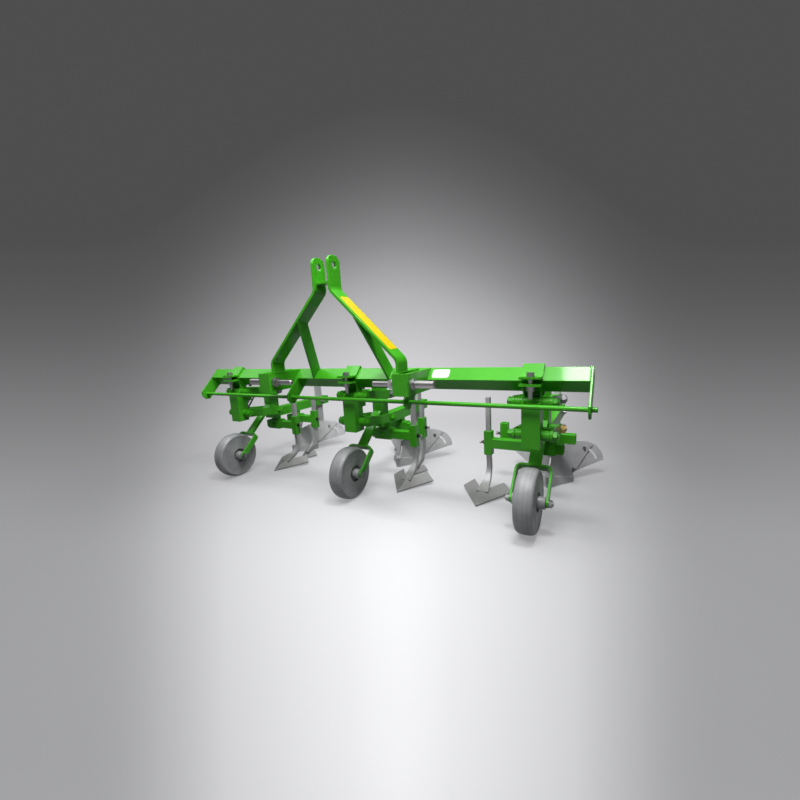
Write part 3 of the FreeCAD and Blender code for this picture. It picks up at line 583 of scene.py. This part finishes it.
def grow(name: str, tree: NodeTree, seed: Mesh, sizes: dict[str, object]) -> Object:
    """Runs a geometry tree on a seed mesh and keeps the plain result.

    Args:
        name: Name of the piece.
        tree: The geometry tree.
        seed: Points or edges that the tree grows from.
        sizes: Input names with their values.

    Returns:
        An object whose mesh is the result.
    """
    made = put(name, seed)
    run = made.modifiers.new("grow", "NODES")
    run.node_group = tree
    for item in tree.interface.items_tree:
        if item.item_type == "SOCKET" and item.in_out == "INPUT" and item.name in sizes:
            run[item.identifier] = sizes[item.name]
    shown = made.evaluated_get(bpy.context.evaluated_depsgraph_get())
    result = bpy.data.meshes.new_from_object(shown)
    made.modifiers.remove(run)
    made.data = result
    made.data.name = name
    return made


@dataclass(frozen=True)
class Seat:
    """Place of a fastener: where its washer bears and which way it points."""

    where: Point
    aim: Point


def seat_pair(x: float, reach: float, y: float, z: float, out: float = 1.0) -> list[Seat]:
    """Two seats left and right of a place, both facing away from it, or towards it where out is -1."""
    return [Seat((x + side * reach, y, z), (side * out, 0.0, 0.0)) for side in SIDES]


def seat_mesh(seats: Sequence[Seat]) -> Mesh:
    """Point mesh of seats with their direction as an attribute.

    Args:
        seats: The seats, in millimetres.

    Returns:
        Mesh with one vertex for each seat.
    """
    mesh = bpy.data.meshes.new("seats")
    mesh.from_pydata([at(*s.where) for s in seats], [], [])
    aim = mesh.attributes.new("aim", "FLOAT_VECTOR", "POINT")
    for i, seat in enumerate(seats):
        aim.data[i].vector = seat.aim
    return mesh


def fastener_tree() -> NodeTree:
    """Makes the geometry tree that sets a hexagon, washer, shank and thread end on each seat.

    Returns:
        The tree.
    """
    tree, given = geometry_tree("hexagon_fastener", HexSize().inputs())
    corner, dome, rim, down = (
        node(tree, "ShaderNodeMath", {0: given[key], 1: share}, operation="MULTIPLY").outputs[0]
        for key, share in (("Across", 0.57735), ("Across", 0.47), ("Tall", 0.09), ("Grip", -1.0)))
    top = node(tree, "ShaderNodeMath", {0: given["Washer"], 1: given["Tall"]}, operation="ADD")
    joined = node(tree, "GeometryNodeJoinGeometry")
    for sides, radius, tall, base in ((24, given["Washer Radius"], given["Washer"], 0.0),
                                      (6, corner, given["Tall"], given["Washer"]),
                                      (24, dome, rim, top),
                                      (14, given["Shank Radius"], given["End"], top),
                                      (14, given["Shank Radius"], given["Grip"], down)):
        prism = node(tree, "GeometryNodeMeshCylinder", {"Vertices": sides, "Radius": radius, "Depth": tall})
        middle = node(tree, "ShaderNodeMath", {0: tall, 1: 0.5, 2: base}, operation="MULTIPLY_ADD")
        lift = node(tree, "ShaderNodeCombineXYZ", {2: middle})
        part = node(tree, "GeometryNodeTransform", {"Geometry": prism, "Translation": lift})
        tree.links.new(part.outputs[0], joined.inputs[0])
    aim = node(tree, "GeometryNodeInputNamedAttribute", {"Name": "aim"}, data_type="FLOAT_VECTOR")
    turn = node(tree, "FunctionNodeAlignRotationToVector", {"Vector": aim}, axis="Z")
    roll = node(tree, "FunctionNodeRandomValue", {2: 0.0, 3: 1.047, "Seed": 7}, data_type="FLOAT")
    spin = node(tree, "FunctionNodeAxisAngleToRotation", {"Axis": (0.0, 0.0, 1.0), "Angle": roll.outputs[1]})
    both = node(tree, "FunctionNodeRotateRotation", {0: turn, 1: spin}, rotation_space="LOCAL")
    spread = node(tree, "GeometryNodeInstanceOnPoints", {
        "Points": given["Geometry"], "Instance": joined, "Rotation": both})
    real = node(tree, "GeometryNodeRealizeInstances", {"Geometry": spread})
    paint = node(tree, "GeometryNodeSetMaterial", {"Geometry": real, "Material": given["Material"]})
    node(tree, "NodeGroupOutput", {0: paint})
    return tree


def bead_tree() -> NodeTree:
    """Makes the geometry tree that lays a rippled weld bead along edges.

    Returns:
        The tree.
    """
    tree, given = geometry_tree("weld_bead", {"Wide": 5.0 * MM, "Pitch": 4.2 * MM, "Ripple": 0.15})
    line = node(tree, "GeometryNodeMeshToCurve", {"Mesh": given["Geometry"]})
    step = node(tree, "ShaderNodeMath", {0: given["Pitch"], 1: 0.34}, operation="MULTIPLY")
    even = node(tree, "GeometryNodeResampleCurve", {"Curve": line, "Length": step}, mode="LENGTH")
    along = node(tree, "GeometryNodeSplineParameter")
    turn = node(tree, "ShaderNodeMath", {0: along.outputs["Length"], 1: given["Pitch"]}, operation="DIVIDE")
    angle = node(tree, "ShaderNodeMath", {0: turn, 1: math.tau}, operation="MULTIPLY")
    wave = node(tree, "ShaderNodeMath", {0: angle}, operation="SINE")
    swell = node(tree, "ShaderNodeMath", {0: wave, 1: given["Ripple"], 2: 1.0}, operation="MULTIPLY_ADD")
    thick = node(tree, "GeometryNodeSetCurveRadius", {"Curve": even, "Radius": swell})
    half = node(tree, "ShaderNodeMath", {0: given["Wide"], 1: 0.5}, operation="MULTIPLY")
    round_ = node(tree, "GeometryNodeCurvePrimitiveCircle", {"Resolution": 7, "Radius": half})
    tube = node(tree, "GeometryNodeCurveToMesh", {"Curve": thick, "Profile Curve": round_, "Fill Caps": True})
    soft = node(tree, "GeometryNodeSetShadeSmooth", {"Geometry": tube})
    real = node(tree, "GeometryNodeRealizeInstances", {"Geometry": soft})
    paint = node(tree, "GeometryNodeSetMaterial", {"Geometry": real, "Material": given["Material"]})
    node(tree, "NodeGroupOutput", {0: paint})
    return tree


@dataclass(frozen=True)
class HexSize:
    """Sizes of one kind of hexagon fastener in millimetres."""

    across: float = 24.0
    tall: float = 10.0
    washer_radius: float = 15.0
    washer: float = 3.0
    shank_radius: float = 8.0
    grip: float = 1.0
    end: float = 1.0

    def inputs(self) -> dict[str, float]:
        """Values in metres for the fastener tree's inputs of the same names."""
        return {key.replace("_", " ").title(): size * MM for key, size in asdict(self).items()}


# Across flats, height, washer radius and thickness, shank radius, grip and free end in millimetres.
HEXAGONS = {
    "hitch_nuts": HexSize(33.0, 13.0, 19.0, 2.0, 11.5, 0.3, 0.3),
    "clamp_bolt_heads": HexSize(24.0, 10.0, 15.0, 3.0, 8.0, 31.5, 0.3),
    "clamp_nuts": HexSize(24.0, 13.0, 15.0, 3.0, 8.0, 0.3, 26.0),
    "pivot_nuts": HexSize(31.0, 12.0, 17.0, 2.0, 9.0, 0.3, 5.0),
    "holder_locknuts": HexSize(16.0, 6.0, 9.0, 0.4, 5.0, 0.3, 8.0),
    "holder_screws": HexSize(14.0, 6.5, 5.0, 0.2, 5.0, 0.3, 0.2),
    "sleeve_screws": HexSize(19.0, 9.0, 12.0, 2.0, 6.0, 0.3, 5.0),
    "stem_bolts": HexSize(19.0, 9.0, 12.0, 2.0, 6.0, 0.3, 4.0),
    "axle_nuts": HexSize(22.0, 9.0, 13.0, 2.0, 7.0, 0.3, 4.0),
    "stop_screw": HexSize(19.0, 8.0, 12.0, 1.0, 6.0, 0.3, 34.5),
    "wing_bolts": HexSize(13.0, 5.5, 8.5, 1.4, 4.0, 0.3, 0.3),
}


@dataclass
class Toolroom:
    """What every sub-assembly works with: finishes, trees and the edge easer."""

    paint: Paintbox = field(default_factory=Paintbox)
    ease: EdgeEaser = field(default_factory=EdgeEaser)
    hexagon: NodeTree = field(default_factory=fastener_tree)
    bead: NodeTree = field(default_factory=bead_tree)

    def fasten(self, name: str, body: str, seats: Sequence[Seat], size: str, material: Material) -> None:
        """Sets hexagon fasteners on seats as one piece.

        Args:
            name: Name of the piece.
            body: Body that carries them.
            seats: Where they sit.
            size: Their kind in the table of hexagons.
            material: Their finish.
        """
        made = grow(name, self.hexagon, seat_mesh(seats), {**HEXAGONS[size].inputs(), "Material": material})
        made.data.shade_smooth()
        made.data.set_sharp_from_angle(angle=math.radians(30.0))
        settle(made, body)

    def run_beads(self, name: str, body: str, lines: Sequence[Sequence[Point]]) -> None:
        """Lays painted weld beads along broken lines as one piece.

        Args:
            name: Name of the piece.
            body: Body that carries them.
            lines: Broken lines in millimetres.
        """
        points: list[Vector] = []
        edges: list[tuple[int, int]] = []
        for line in lines:
            first = len(points)
            points += [at(*p) for p in line]
            edges += [(first + i, first + i + 1) for i in range(len(line) - 1)]
        seed = bpy.data.meshes.new("bead_lines")
        seed.from_pydata(points, edges, [])
        settle(grow(name, self.bead, seed, {"Material": self.paint.enamel}), body)


def ring(x: float, y: float, z: float, radius: float, steps: int = 20) -> list[Point]:
    """Circle round the X direction as a closed broken line."""
    return [(x, y + radius * math.cos(i * math.tau / steps), z + radius * math.sin(i * math.tau / steps))
            for i in range(steps + 1)]


def lathe_x(profile: Sequence[tuple[float, float]], x: float, z: float, steps: int) -> BMesh:
    """Closed solid of revolution round an axis along X through the wheel axle's Y.

    Args:
        profile: Closed outline of (along, radius) pairs in millimetres.
        x: Middle of the solid along X.
        z: Axis height.
        steps: Faces round the axis.

    Returns:
        The mesh under construction.
    """
    mesh = bmesh.new()
    turns = [i * math.tau / steps for i in range(steps)]
    rows = [[mesh.verts.new(at(x + a, r * math.cos(turn), z + r * math.sin(turn))) for a, r in profile]
            for turn in turns]
    count = len(profile)
    for one, two in zip(rows, rows[1:] + rows[:1]):
        for k in range(count):
            mesh.faces.new((one[k], one[(k + 1) % count], two[(k + 1) % count], two[k]))
    return mesh


def rod(mesh: BMesh, one: Point, two: Point, radius: float) -> None:
    """Adds a round bar between two points in millimetres.

    Args:
        mesh: Mesh under construction.
        one: Middle of its first end.
        two: Middle of its second end.
        radius: Its radius.
    """
    start, stop = at(*one), at(*two)
    run = stop - start
    place = Matrix.Translation((start + stop) / 2.0) @ run.to_track_quat("Z", "Y").to_matrix().to_4x4()
    bmesh.ops.create_cone(mesh, cap_ends=True, segments=16, radius1=radius * MM, radius2=radius * MM,
                          depth=run.length, matrix=place)


def slab(lower: Point, upper: Point, rounding: float) -> BMesh:
    """Box with rounded edges.

    Args:
        lower: Its lower corner in millimetres.
        upper: Its upper corner in millimetres.
        rounding: Radius of its edges in millimetres.

    Returns:
        The mesh under construction.
    """
    mesh = bmesh.new()
    low, high = at(*lower), at(*upper)
    for v in bmesh.ops.create_cube(mesh, size=1.0)["verts"]:
        v.co = Vector(low[i] if v.co[i] < 0 else high[i] for i in range(3))
    bmesh.ops.bevel(mesh, geom=mesh.edges[:], offset=rounding * MM, segments=2, affect="EDGES", profile=0.5,
                    clamp_overlap=True)
    return mesh


@dataclass
class Frame:
    """Toolbar, guard rod, mast and hitch, which all ride on the frame body."""

    room: Toolroom
    bar_y: float = 85.0
    bar_z: float = 515.0
    bar_half: float = 30.0
    bar_end: float = 925.0
    plate: float = 8.0
    plate_x: float = 298.0
    rod_gap: float = 115.0
    leg_x: float = 314.0
    ear_x: float = 38.0
    low_z: float = 600.0
    high_z: float = 871.0
    leg_thick: float = 12.0
    foot_x: tuple[float, ...] = (308.0, 320.0, 358.0, 370.0)
    brace_x: tuple[float, ...] = (189.0, 201.0)
    ear_z: tuple[float, ...] = (897.0, 907.0)
    film_thick: float = 0.25

    def slanted(self, along: float, across: float) -> tuple[float, float]:
        """Y and Z of a point along and across the line square to the lower front face."""
        return self.bar_y - ROOT * (along + across), self.bar_z - ROOT * (along - across)

    def dress(self) -> None:
        """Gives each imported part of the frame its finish."""
        ease, paint = self.room.ease, self.room.paint
        ease.dress("toolbar", paint.enamel, 3.0)
        for name in ("guard_rod", "end_plate_left", "end_plate_right", "rod_plate_left", "rod_plate_right",
                     "mast_leg_right", "mast_leg_left", "mast_spacer", "mast_brace_right", "mast_brace_left",
                     "hitch_foot_right", "hitch_foot_left"):
            ease.dress(name, paint.enamel)
        for name in ("hitch_pin_right", "hitch_pin_left"):
            ease.dress(name, paint.zinc, 2.5)

    def beads(self) -> None:
        """Lays the weld beads of toolbar, plates, feet and mast."""
        half = self.bar_half
        corners = [self.slanted(a, b) for a, b in ((-half, half), (half, half), (half, -half), (-half, -half))]
        lines: list[list[Point]] = []
        for x in (-self.bar_end, self.bar_end):
            loop = [(x, *corner) for corner in corners]
            lines.append(loop + loop[:1])
        for side in SIDES:
            lines += [[(side * x, *corners[1]), (side * x, *corners[2])]
                      for x in (self.plate_x, self.plate_x + self.plate)]
            lines += [[(side * x, 82.6, 475.0), (side * x, 42.6, 515.0), (side * x, 82.6, 555.0)]
                      for x in self.foot_x]
            lines += [[(side * x, -85.0, 555.0), (side * x, -15.0, 555.0)] for x in self.foot_x[:2]]
            lines += [[(side * x, 63.8 + way, 536.2 + way) for way in (-17.0, 19.0)] for x in self.brace_x]
            lines += [[(side * 32.0, -75.0, z), (side * 32.0, -25.0, z)] for z in self.ear_z]
        rod_y, rod_z = self.slanted(self.rod_gap, 0.0)
        rod_x = (self.plate_x, self.plate_x + self.plate, self.bar_end, self.bar_end + self.plate)
        for x in [-x for x in rod_x[::-1]] + list(rod_x):
            lines.append(ring(x, rod_y, rod_z, 8.5, 14))
        self.room.run_beads("frame_welds", "frame", lines)

    def stickers(self) -> None:
        """Puts the blank yellow strip on the right leg and the blank white one on the toolbar."""
        run = Vector((self.ear_x - self.leg_x, 0.0, self.high_z - self.low_z))
        along = run.normalized()
        out = Vector((along.z, 0.0, -along.x))
        start = Vector((self.leg_x, 0.0, self.low_z)) + out * (self.leg_thick / 2.0 + self.film_thick)
        spots = [(start + run * share, y) for share, y in ((0.13, -74.0), (0.88, -74.0), (0.88, -20.0), (0.13, -20.0))]
        self.film("yellow_strip", [(spot.x, y, spot.z) for spot, y in spots], self.room.paint.yellow, out)
        skin = self.bar_half + self.film_thick
        face = [(x, self.bar_y - ROOT * (skin - across), self.bar_z + ROOT * (skin + across))
                for x, across in ((383.0, -20.0), (452.0, -20.0), (452.0, 20.0), (383.0, 20.0))]
        self.film("white_strip", face, self.room.paint.white, Vector((0.0, -ROOT, ROOT)))

    def film(self, name: str, corners: Sequence[Point], material: Material, out: Vector) -> None:
        """Lays a thin blank film with rounded corners on a face.

        Args:
            name: Name of the film.
            corners: Its four corners in millimetres.
            material: Its finish.
            out: Direction away from the face.
        """
        mesh = bmesh.new()
        verts = [mesh.verts.new(at(*c)) for c in corners]
        mesh.faces.new(verts)
        bmesh.ops.bevel(mesh, geom=verts, offset=4.0 * MM, segments=3, affect="VERTICES")
        for item in bmesh.ops.extrude_face_region(mesh, geom=mesh.faces[:])["geom"]:
            if isinstance(item, BMVert):
                item.co += out * (self.film_thick * MM)
        settle(piece(name, mesh, material), "frame")

    def hitch_nuts(self) -> None:
        """Sets the nut on the inner end of each hitch pin's seat."""
        seats = seat_pair(0.0, 295.0, -83.0, self.bar_z, -1.0)
        self.room.fasten("hitch_nuts", "frame", seats, "hitch_nuts", self.room.paint.zinc)

    def build(self) -> None:
        """Builds the dressed frame."""
        self.dress()
        self.beads()
        self.stickers()
        self.hitch_nuts()


@dataclass
class RowUnit:
    """One row unit: column, links, carrier, tools and wheel."""

    room: Toolroom
    name: str
    x: float
    front: float
    rear: float
    rear_tine: bool
    bar_y: float = Frame.bar_y
    bar_z: float = Frame.bar_z
    clamp_y: float = 59.0
    pivot_y: float = 66.0
    pivot_low: float = 325.0
    pivot_gap: float = 115.0
    link_run: float = 210.0
    link_drop: float = 25.0
    cross_y: tuple[float, float] = (300.0, 460.0)
    cross_z: float = 213.0
    holder_half: float = 17.0
    axle_z: float = 112.0

    def node(self, key: str) -> str:
        """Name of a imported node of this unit."""
        return f"{key}_{self.name}"

    def fasten(self, key: str, body: str, seats: Sequence[Seat], metal: Material) -> None:
        """Sets hexagons of this unit.  Their name gives their size, too.

        Args:
            key: Name of the piece without the unit.
            body: Body that carries them without the unit, or the frame.
            seats: Where they sit.
            metal: Their finish.
        """
        size = "pivot_nuts" if key.endswith("pivot_nuts") else key
        self.room.fasten(self.node(key), body if body == "frame" else self.node(body), seats, size, metal)

    def dress(self) -> None:
        """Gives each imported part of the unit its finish."""
        ease, paint = self.room.ease, self.room.paint
        for key in ("clamp", "column", "lower_link", "upper_link", "carrier", "crossbar_front", "crossbar_rear",
                    "wheel_fork"):
            ease.dress(self.node(key), paint.enamel)
        for key in ("ridge_body", "wing_l", "wing_r"):
            ease.dress(self.node(key), paint.tool, 1.0)
        for key in ["tine_front"] + (["tine_rear"] if self.rear_tine else []):
            ease.dress(self.node(key), paint.tine, 1.0)

    def clamp_bolts(self) -> None:
        """Sets the two bolts of the toolbar clamp with their nuts."""
        for key, up in (("clamp_bolt_heads", 1.0), ("clamp_nuts", -1.0)):
            self.fasten(key, "frame", [Seat((self.x, self.bar_y + y, self.bar_z + up * 16.0), (0.0, 0.0, up))
                                       for y in (-self.clamp_y, self.clamp_y)], self.room.paint.zinc)

    def pivot_nuts(self) -> None:
        """Covers the plain pin heads of both link pairs with hexagons."""
        paint = self.room.paint
        for key, z in (("lower", self.pivot_low), ("upper", self.pivot_low + self.pivot_gap)):
            rear = paint.dull if key == "upper" else paint.chromate if self.name == "right" else paint.enamel
            for end, metal, y, height in (("front", paint.enamel, self.pivot_y, z),
                                          ("rear", rear, self.pivot_y + self.link_run, z - self.link_drop)):
                self.fasten(f"{key}_{end}_pivot_nuts", f"{key}_arm", seat_pair(self.x, 66.0, y, height), metal)

    def set_screws(self) -> None:
        """Sets the lock-nutted screws of the holders and of the crossbar sleeves."""
        paint = self.room.paint
        seats, out = [], []
        for hold, y in zip((self.front, self.rear), self.cross_y):
            side = math.copysign(1.0, hold)
            for row, reach in ((seats, self.holder_half), (out, self.holder_half + 14.5)):
                row.append(Seat((self.x + hold + side * reach, y, self.cross_z), (side, 0.0, 0.0)))
        sleeves = [Seat((self.x, y - 25.0, self.cross_z), (0.0, -1.0, 0.0)) for y in self.cross_y]
        self.fasten("holder_locknuts", "carrier", seats, paint.black)
        self.fasten("holder_screws", "carrier", out, paint.zinc)
        self.fasten("sleeve_screws", "carrier", sleeves, paint.enamel)
        self.fasten("stem_bolts", "carrier", seat_pair(self.x, 25.0, 677.5, 283.0), paint.zinc)

    def axle_nuts(self) -> None:
        """Sets the axle nuts outside the fork arms."""
        self.fasten("axle_nuts", "carrier", seat_pair(self.x, 64.0, 0.0, self.axle_z), self.room.paint.dull)

    def beads(self) -> None:
        """Lays the weld beads of the column and of the carrier."""
        x, z = self.x, self.cross_z
        lines: list[list[Point]] = []
        for side in SIDES:
            edge = x + side * 30.0
            lines.append([(edge, 28.0, 499.0), (edge, 44.3, 499.0), (edge, 82.0, 461.5), (edge, 87.0, 463.0)])
            lines += [ring(edge, self.pivot_y, low, 18.0) for low in (self.pivot_low, self.pivot_low + self.pivot_gap)]
        self.room.run_beads(self.node("column_welds"), "frame", lines)
        lines = []
        low = self.pivot_low - self.link_drop
        for side in SIDES:
            lines += [ring(x + side * 25.0, self.pivot_y + self.link_run, height, 18.0)
                      for height in (low, low + self.pivot_gap)]
            lines += [[(x + side * 20.0, y - 16.0, 238.0), (x + side * 20.0, y + 16.0, 238.0)] for y in self.cross_y]
        lines.append([(x - 22.0, 306.0, 308.0), (x + 22.0, 306.0, 308.0)])
        for hold, y in zip((self.front, self.rear), self.cross_y):
            inner = x + hold - math.copysign(self.holder_half, hold)
            for ends in (((-17.0, -20.0), (-17.0, 20.0)), ((-17.0, 20.0), (17.0, 20.0)),
                         ((17.0, 20.0), (17.0, -20.0)), ((-17.0, -20.0), (17.0, -20.0))):
                lines.append([(inner, y + along, z + up) for along, up in ends])
        self.room.run_beads(self.node("carrier_welds"), self.node("carrier"), lines)

    def wheel(self) -> None:
        """Turns the gauge wheel with its crowned tread, flat sides and hub sleeve."""
        half = [(9.0, 112.0), (15.0, 111.3), (20.5, 110.0), (24.5, 108.6), (27.6, 106.9), (29.9, 104.6), (31.4, 101.9),
                (32.0, 99.0), (31.6, 97.6), (30.9, 96.6), (30.6, 95.0), (30.6, 40.0), (31.2, 38.6), (31.4, 36.2),
                (30.8, 34.6), (29.4, 34.1), (19.4, 34.1), (18.1, 33.0), (18.1, 22.4), (19.2, 21.2), (53.6, 20.9),
                (54.9, 19.8), (54.9, 10.3)]
        mesh = lathe_x(half + [(-a, r) for a, r in half[::-1]], self.x, self.axle_z, 96)
        made = piece(self.node("wheel"), mesh, self.room.paint.wheel, 40.0)
        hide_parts(self.node("gauge_wheel"))
        settle(made, self.node("wheel"))

    def stop(self) -> None:
        """Adds the stop block behind the column, its screw and the plate it bears on."""
        for key, body, half, (front, rear), (low, high), rounding in (
                ("stop_block", "frame", 21.0, (87.0, 126.0), (385.0, 410.0), 1.5),
                ("stop_plate", self.node("lower_arm"), 57.9, (96.0, 124.0), (332.0, 341.0), 1.2)):
            mesh = slab((self.x - half, front, low), (self.x + half, rear, high), rounding)
            settle(piece(self.node(key), mesh, self.room.paint.enamel), body)
        self.fasten("stop_screw", "frame", [Seat((self.x, 108.0, 385.0), (0.0, 0.0, -1.0))], self.room.paint.zinc)

    def catch(self) -> None:
        """Adds the pair of slanted rods that holds the linkage of the left unit up in transport."""
        mesh = bmesh.new()
        for x in (self.x - 12.0, self.x + 12.0):
            rod(mesh, (x, 100.0, 341.5), (x, 154.0, 404.0), 4.5)
        rod(mesh, (self.x - 18.0, 150.0, 399.4), (self.x + 18.0, 150.0, 399.4), 6.0)
        settle(piece(self.node("catch_rods"), mesh, self.room.paint.dull), self.node("lower_arm"))

    def wing_bolts(self) -> None:
        """Sets the two bolts of each wing: at the top of its slot and where it swings."""
        board = Board()
        seats = []
        for side in SIDES:
            for angle, radius in ((66.0, 90.0), (0.0, 0.0)):
                where, aim = board.face(*board.fan(angle, radius))
                seats.append(Seat((self.x + side * where[0], *where[1:]), (side * aim[0], *aim[1:])))
        self.fasten("wing_bolts", "carrier", seats, self.room.paint.zinc)

    def build(self) -> None:
        """Builds the dressed unit."""
        self.dress()
        self.clamp_bolts()
        self.pivot_nuts()
        self.set_screws()
        self.axle_nuts()
        self.beads()
        self.wheel()
        self.stop()
        if self.name == "left":
            self.catch()
        self.wing_bolts()


@dataclass(frozen=True)
class Board:
    """Curved mouldboard face: a plan arc that leans back as it rises."""

    start: tuple[float, float] = (3.0, 408.0)
    middle: tuple[float, float] = (97.0, 530.0)
    end: tuple[float, float] = (222.0, 652.0)
    lean: float = 0.45
    bolt: tuple[float, float] = (86.0, 48.0)

    def circle(self) -> tuple[float, float, float]:
        """Finds the plan arc through the three points.

        Returns:
            X and Y of its centre and its radius.
        """
        (ax, ay), (bx, by), (cx, cy) = self.start, self.middle, self.end
        d = 2.0 * (ax * (by - cy) + bx * (cy - ay) + cx * (ay - by))
        a2, b2, c2 = ax * ax + ay * ay, bx * bx + by * by, cx * cx + cy * cy
        ux = (a2 * (by - cy) + b2 * (cy - ay) + c2 * (ay - by)) / d
        uy = (a2 * (cx - bx) + b2 * (ax - cx) + c2 * (bx - ax)) / d
        return ux, uy, math.hypot(ax - ux, ay - uy)

    def fan(self, angle: float, radius: float) -> tuple[float, float]:
        """X and Z of a point given by its angle and radius round the wing's bolt."""
        turn = math.radians(angle)
        return self.bolt[0] + radius * math.cos(turn), self.bolt[1] + radius * math.sin(turn)

    def face(self, x: float, z: float) -> tuple[Point, Point]:
        """Point of the front face and the direction away from it.

        Args:
            x: Distance from the middle of the body.
            z: Height.

        Returns:
            The point in millimetres and a unit vector.
        """
        ux, uy, radius = self.circle()
        rise = math.sqrt(radius * radius - (x - ux) ** 2)
        side = 1.0 if self.middle[1] > uy else -1.0
        y = uy + side * rise
        slope = -side * (x - ux) / rise
        aim = Vector((slope, -1.0, self.lean)).normalized()
        return (x, y + self.lean * z, z), (aim.x, aim.y, aim.z)


@dataclass
class Studio:
    """Ground, lamps and the camera."""

    room: Toolroom
    eye: Point = PaintedLightPool.spot
    yaw: float = 29.97
    pitch: float = 9.65
    roll: float = 3.23
    focal_px: float = 385.4
    image_px: float = 800.0
    sensor_mm: float = 36.0
    floor_half: float = 14.0
    # Grey of the backdrop far from the painted pool of light: painted dimness.
    painted_dim_wall: float = 0.15
    room_tone: str = "#E4E6EA"
    room_light: float = 0.08

    def camera(self) -> None:
        """Sets the camera up at the photograph's place, tilted by its roll."""
        yaw, pitch, roll = (math.radians(v) for v in (self.yaw, self.pitch, self.roll))
        ahead = Vector((-math.sin(yaw) * math.cos(pitch), math.cos(yaw) * math.cos(pitch), -math.sin(pitch)))
        level = ahead.cross(Vector((0.0, 0.0, 1.0))).normalized()
        upright = level.cross(ahead)
        right = level * math.cos(roll) - upright * math.sin(roll)
        up = upright * math.cos(roll) + level * math.sin(roll)
        lens = bpy.data.cameras.new("camera")
        lens.sensor_width = self.sensor_mm
        lens.lens = self.focal_px * self.sensor_mm / self.image_px
        lens.clip_start = 0.01
        made = put("camera", lens)
        turn = Matrix((right, up, -ahead)).transposed().to_4x4()
        made.matrix_world = Matrix.Translation(Vector(self.eye)) @ turn
        bpy.context.scene.camera = made

    def ground(self) -> None:
        """Lays the pale floor, which runs on past the horizon."""
        mesh = bmesh.new()
        bmesh.ops.create_grid(mesh, x_segments=1, y_segments=1, size=self.floor_half)
        piece("floor", mesh, self.room.paint.ground)

    def lamp(self, name: str, where: Point, aim: Point, size: float, power: float) -> None:
        """Hangs a square soft lamp.

        Args:
            name: Name of the lamp.
            where: Its place in metres.
            aim: Point it faces.
            size: Edge of the lamp in metres.
            power: Its power in watts.
        """
        light = bpy.data.lights.new(name, "AREA")
        light.shape = "SQUARE"
        light.size = size
        light.energy = power
        made = put(name, light)
        made.location = where
        made.rotation_euler = (Vector(aim) - Vector(where)).to_track_quat("-Z", "Y").to_euler()
        made.visible_camera = False

    def lights(self) -> None:
        """Sets the backdrop, painted with the same pool of light as the floor, the dim room and the lamps."""
        world = bpy.data.worlds.new("studio")
        world.use_nodes = True
        tree = world.node_tree
        tree.nodes.clear()
        way = node(tree, "ShaderNodeTexCoord").outputs["Generated"]
        # The camera sees the painted pool of light as backdrop; all other rays see the dim room.
        seen, room = (
            node(tree, "ShaderNodeBackground", {"Color": colour, "Strength": strength}).outputs[0]
            for colour, strength in ((PaintedLightPool().tone(tree, way, self.painted_dim_wall), 1.0),
                                     (srgb(self.room_tone), self.room_light)))
        path = node(tree, "ShaderNodeLightPath")
        both = node(tree, "ShaderNodeMixShader", {0: path.outputs["Is Camera Ray"], 1: room, 2: seen})
        node(tree, "ShaderNodeOutputWorld", {"Surface": both})
        bpy.context.scene.world = world
        for lamp in (("key", (0.9, -1.25, 3.0), (0.2, 0.0, 0.5), 2.2, 26.0),
                     ("mast", (0.25, -1.15, 1.75), (0.0, -0.37, 0.9), 0.7, 12.0),
                     ("overhead", (-0.3, 0.3, 3.1), (-0.2, 0.0, 0.4), 3.0, 44.0),
                     ("left_sheen", (-2.7, -0.5, 3.1), (-0.3, -0.2, 0.55), 1.9, 26.0),
                     ("right_glare", (0.82, -0.55, 2.6), (0.82, -0.4, 0.5), 0.42, 30.0),
                     ("left_glare", (-1.15, -0.50, 2.6), (-0.2, -0.4, 0.5), 0.60, 6.0)):
            self.lamp(*lamp)

    def build(self) -> None:
        """Builds the studio."""
        self.camera()
        self.ground()
        self.lights()
        bpy.context.scene.view_settings.view_transform = "Standard"


# Name, place along X, front and rear tine holder along the crossbars, and whether it has a rear tine.
UNITS = (
    ("left", -750.0, 150.0, 150.0, True),
    ("middle", 0.0, 165.0, 130.0, True),
    ("right", 750.0, -225.0, -198.0, False),
)


def main() -> None:
    """Builds the studio, the frame and the three row units."""
    logging.basicConfig(level=logging.INFO, format="%(name)s: %(message)s")
    room = Toolroom()
    makers: list[Callable[[], None]] = [Studio(room).build, Frame(room).build]
    makers += [RowUnit(room, *row).build for row in UNITS]
    for make in makers:
        make()


if __name__ == "__main__":
    main()
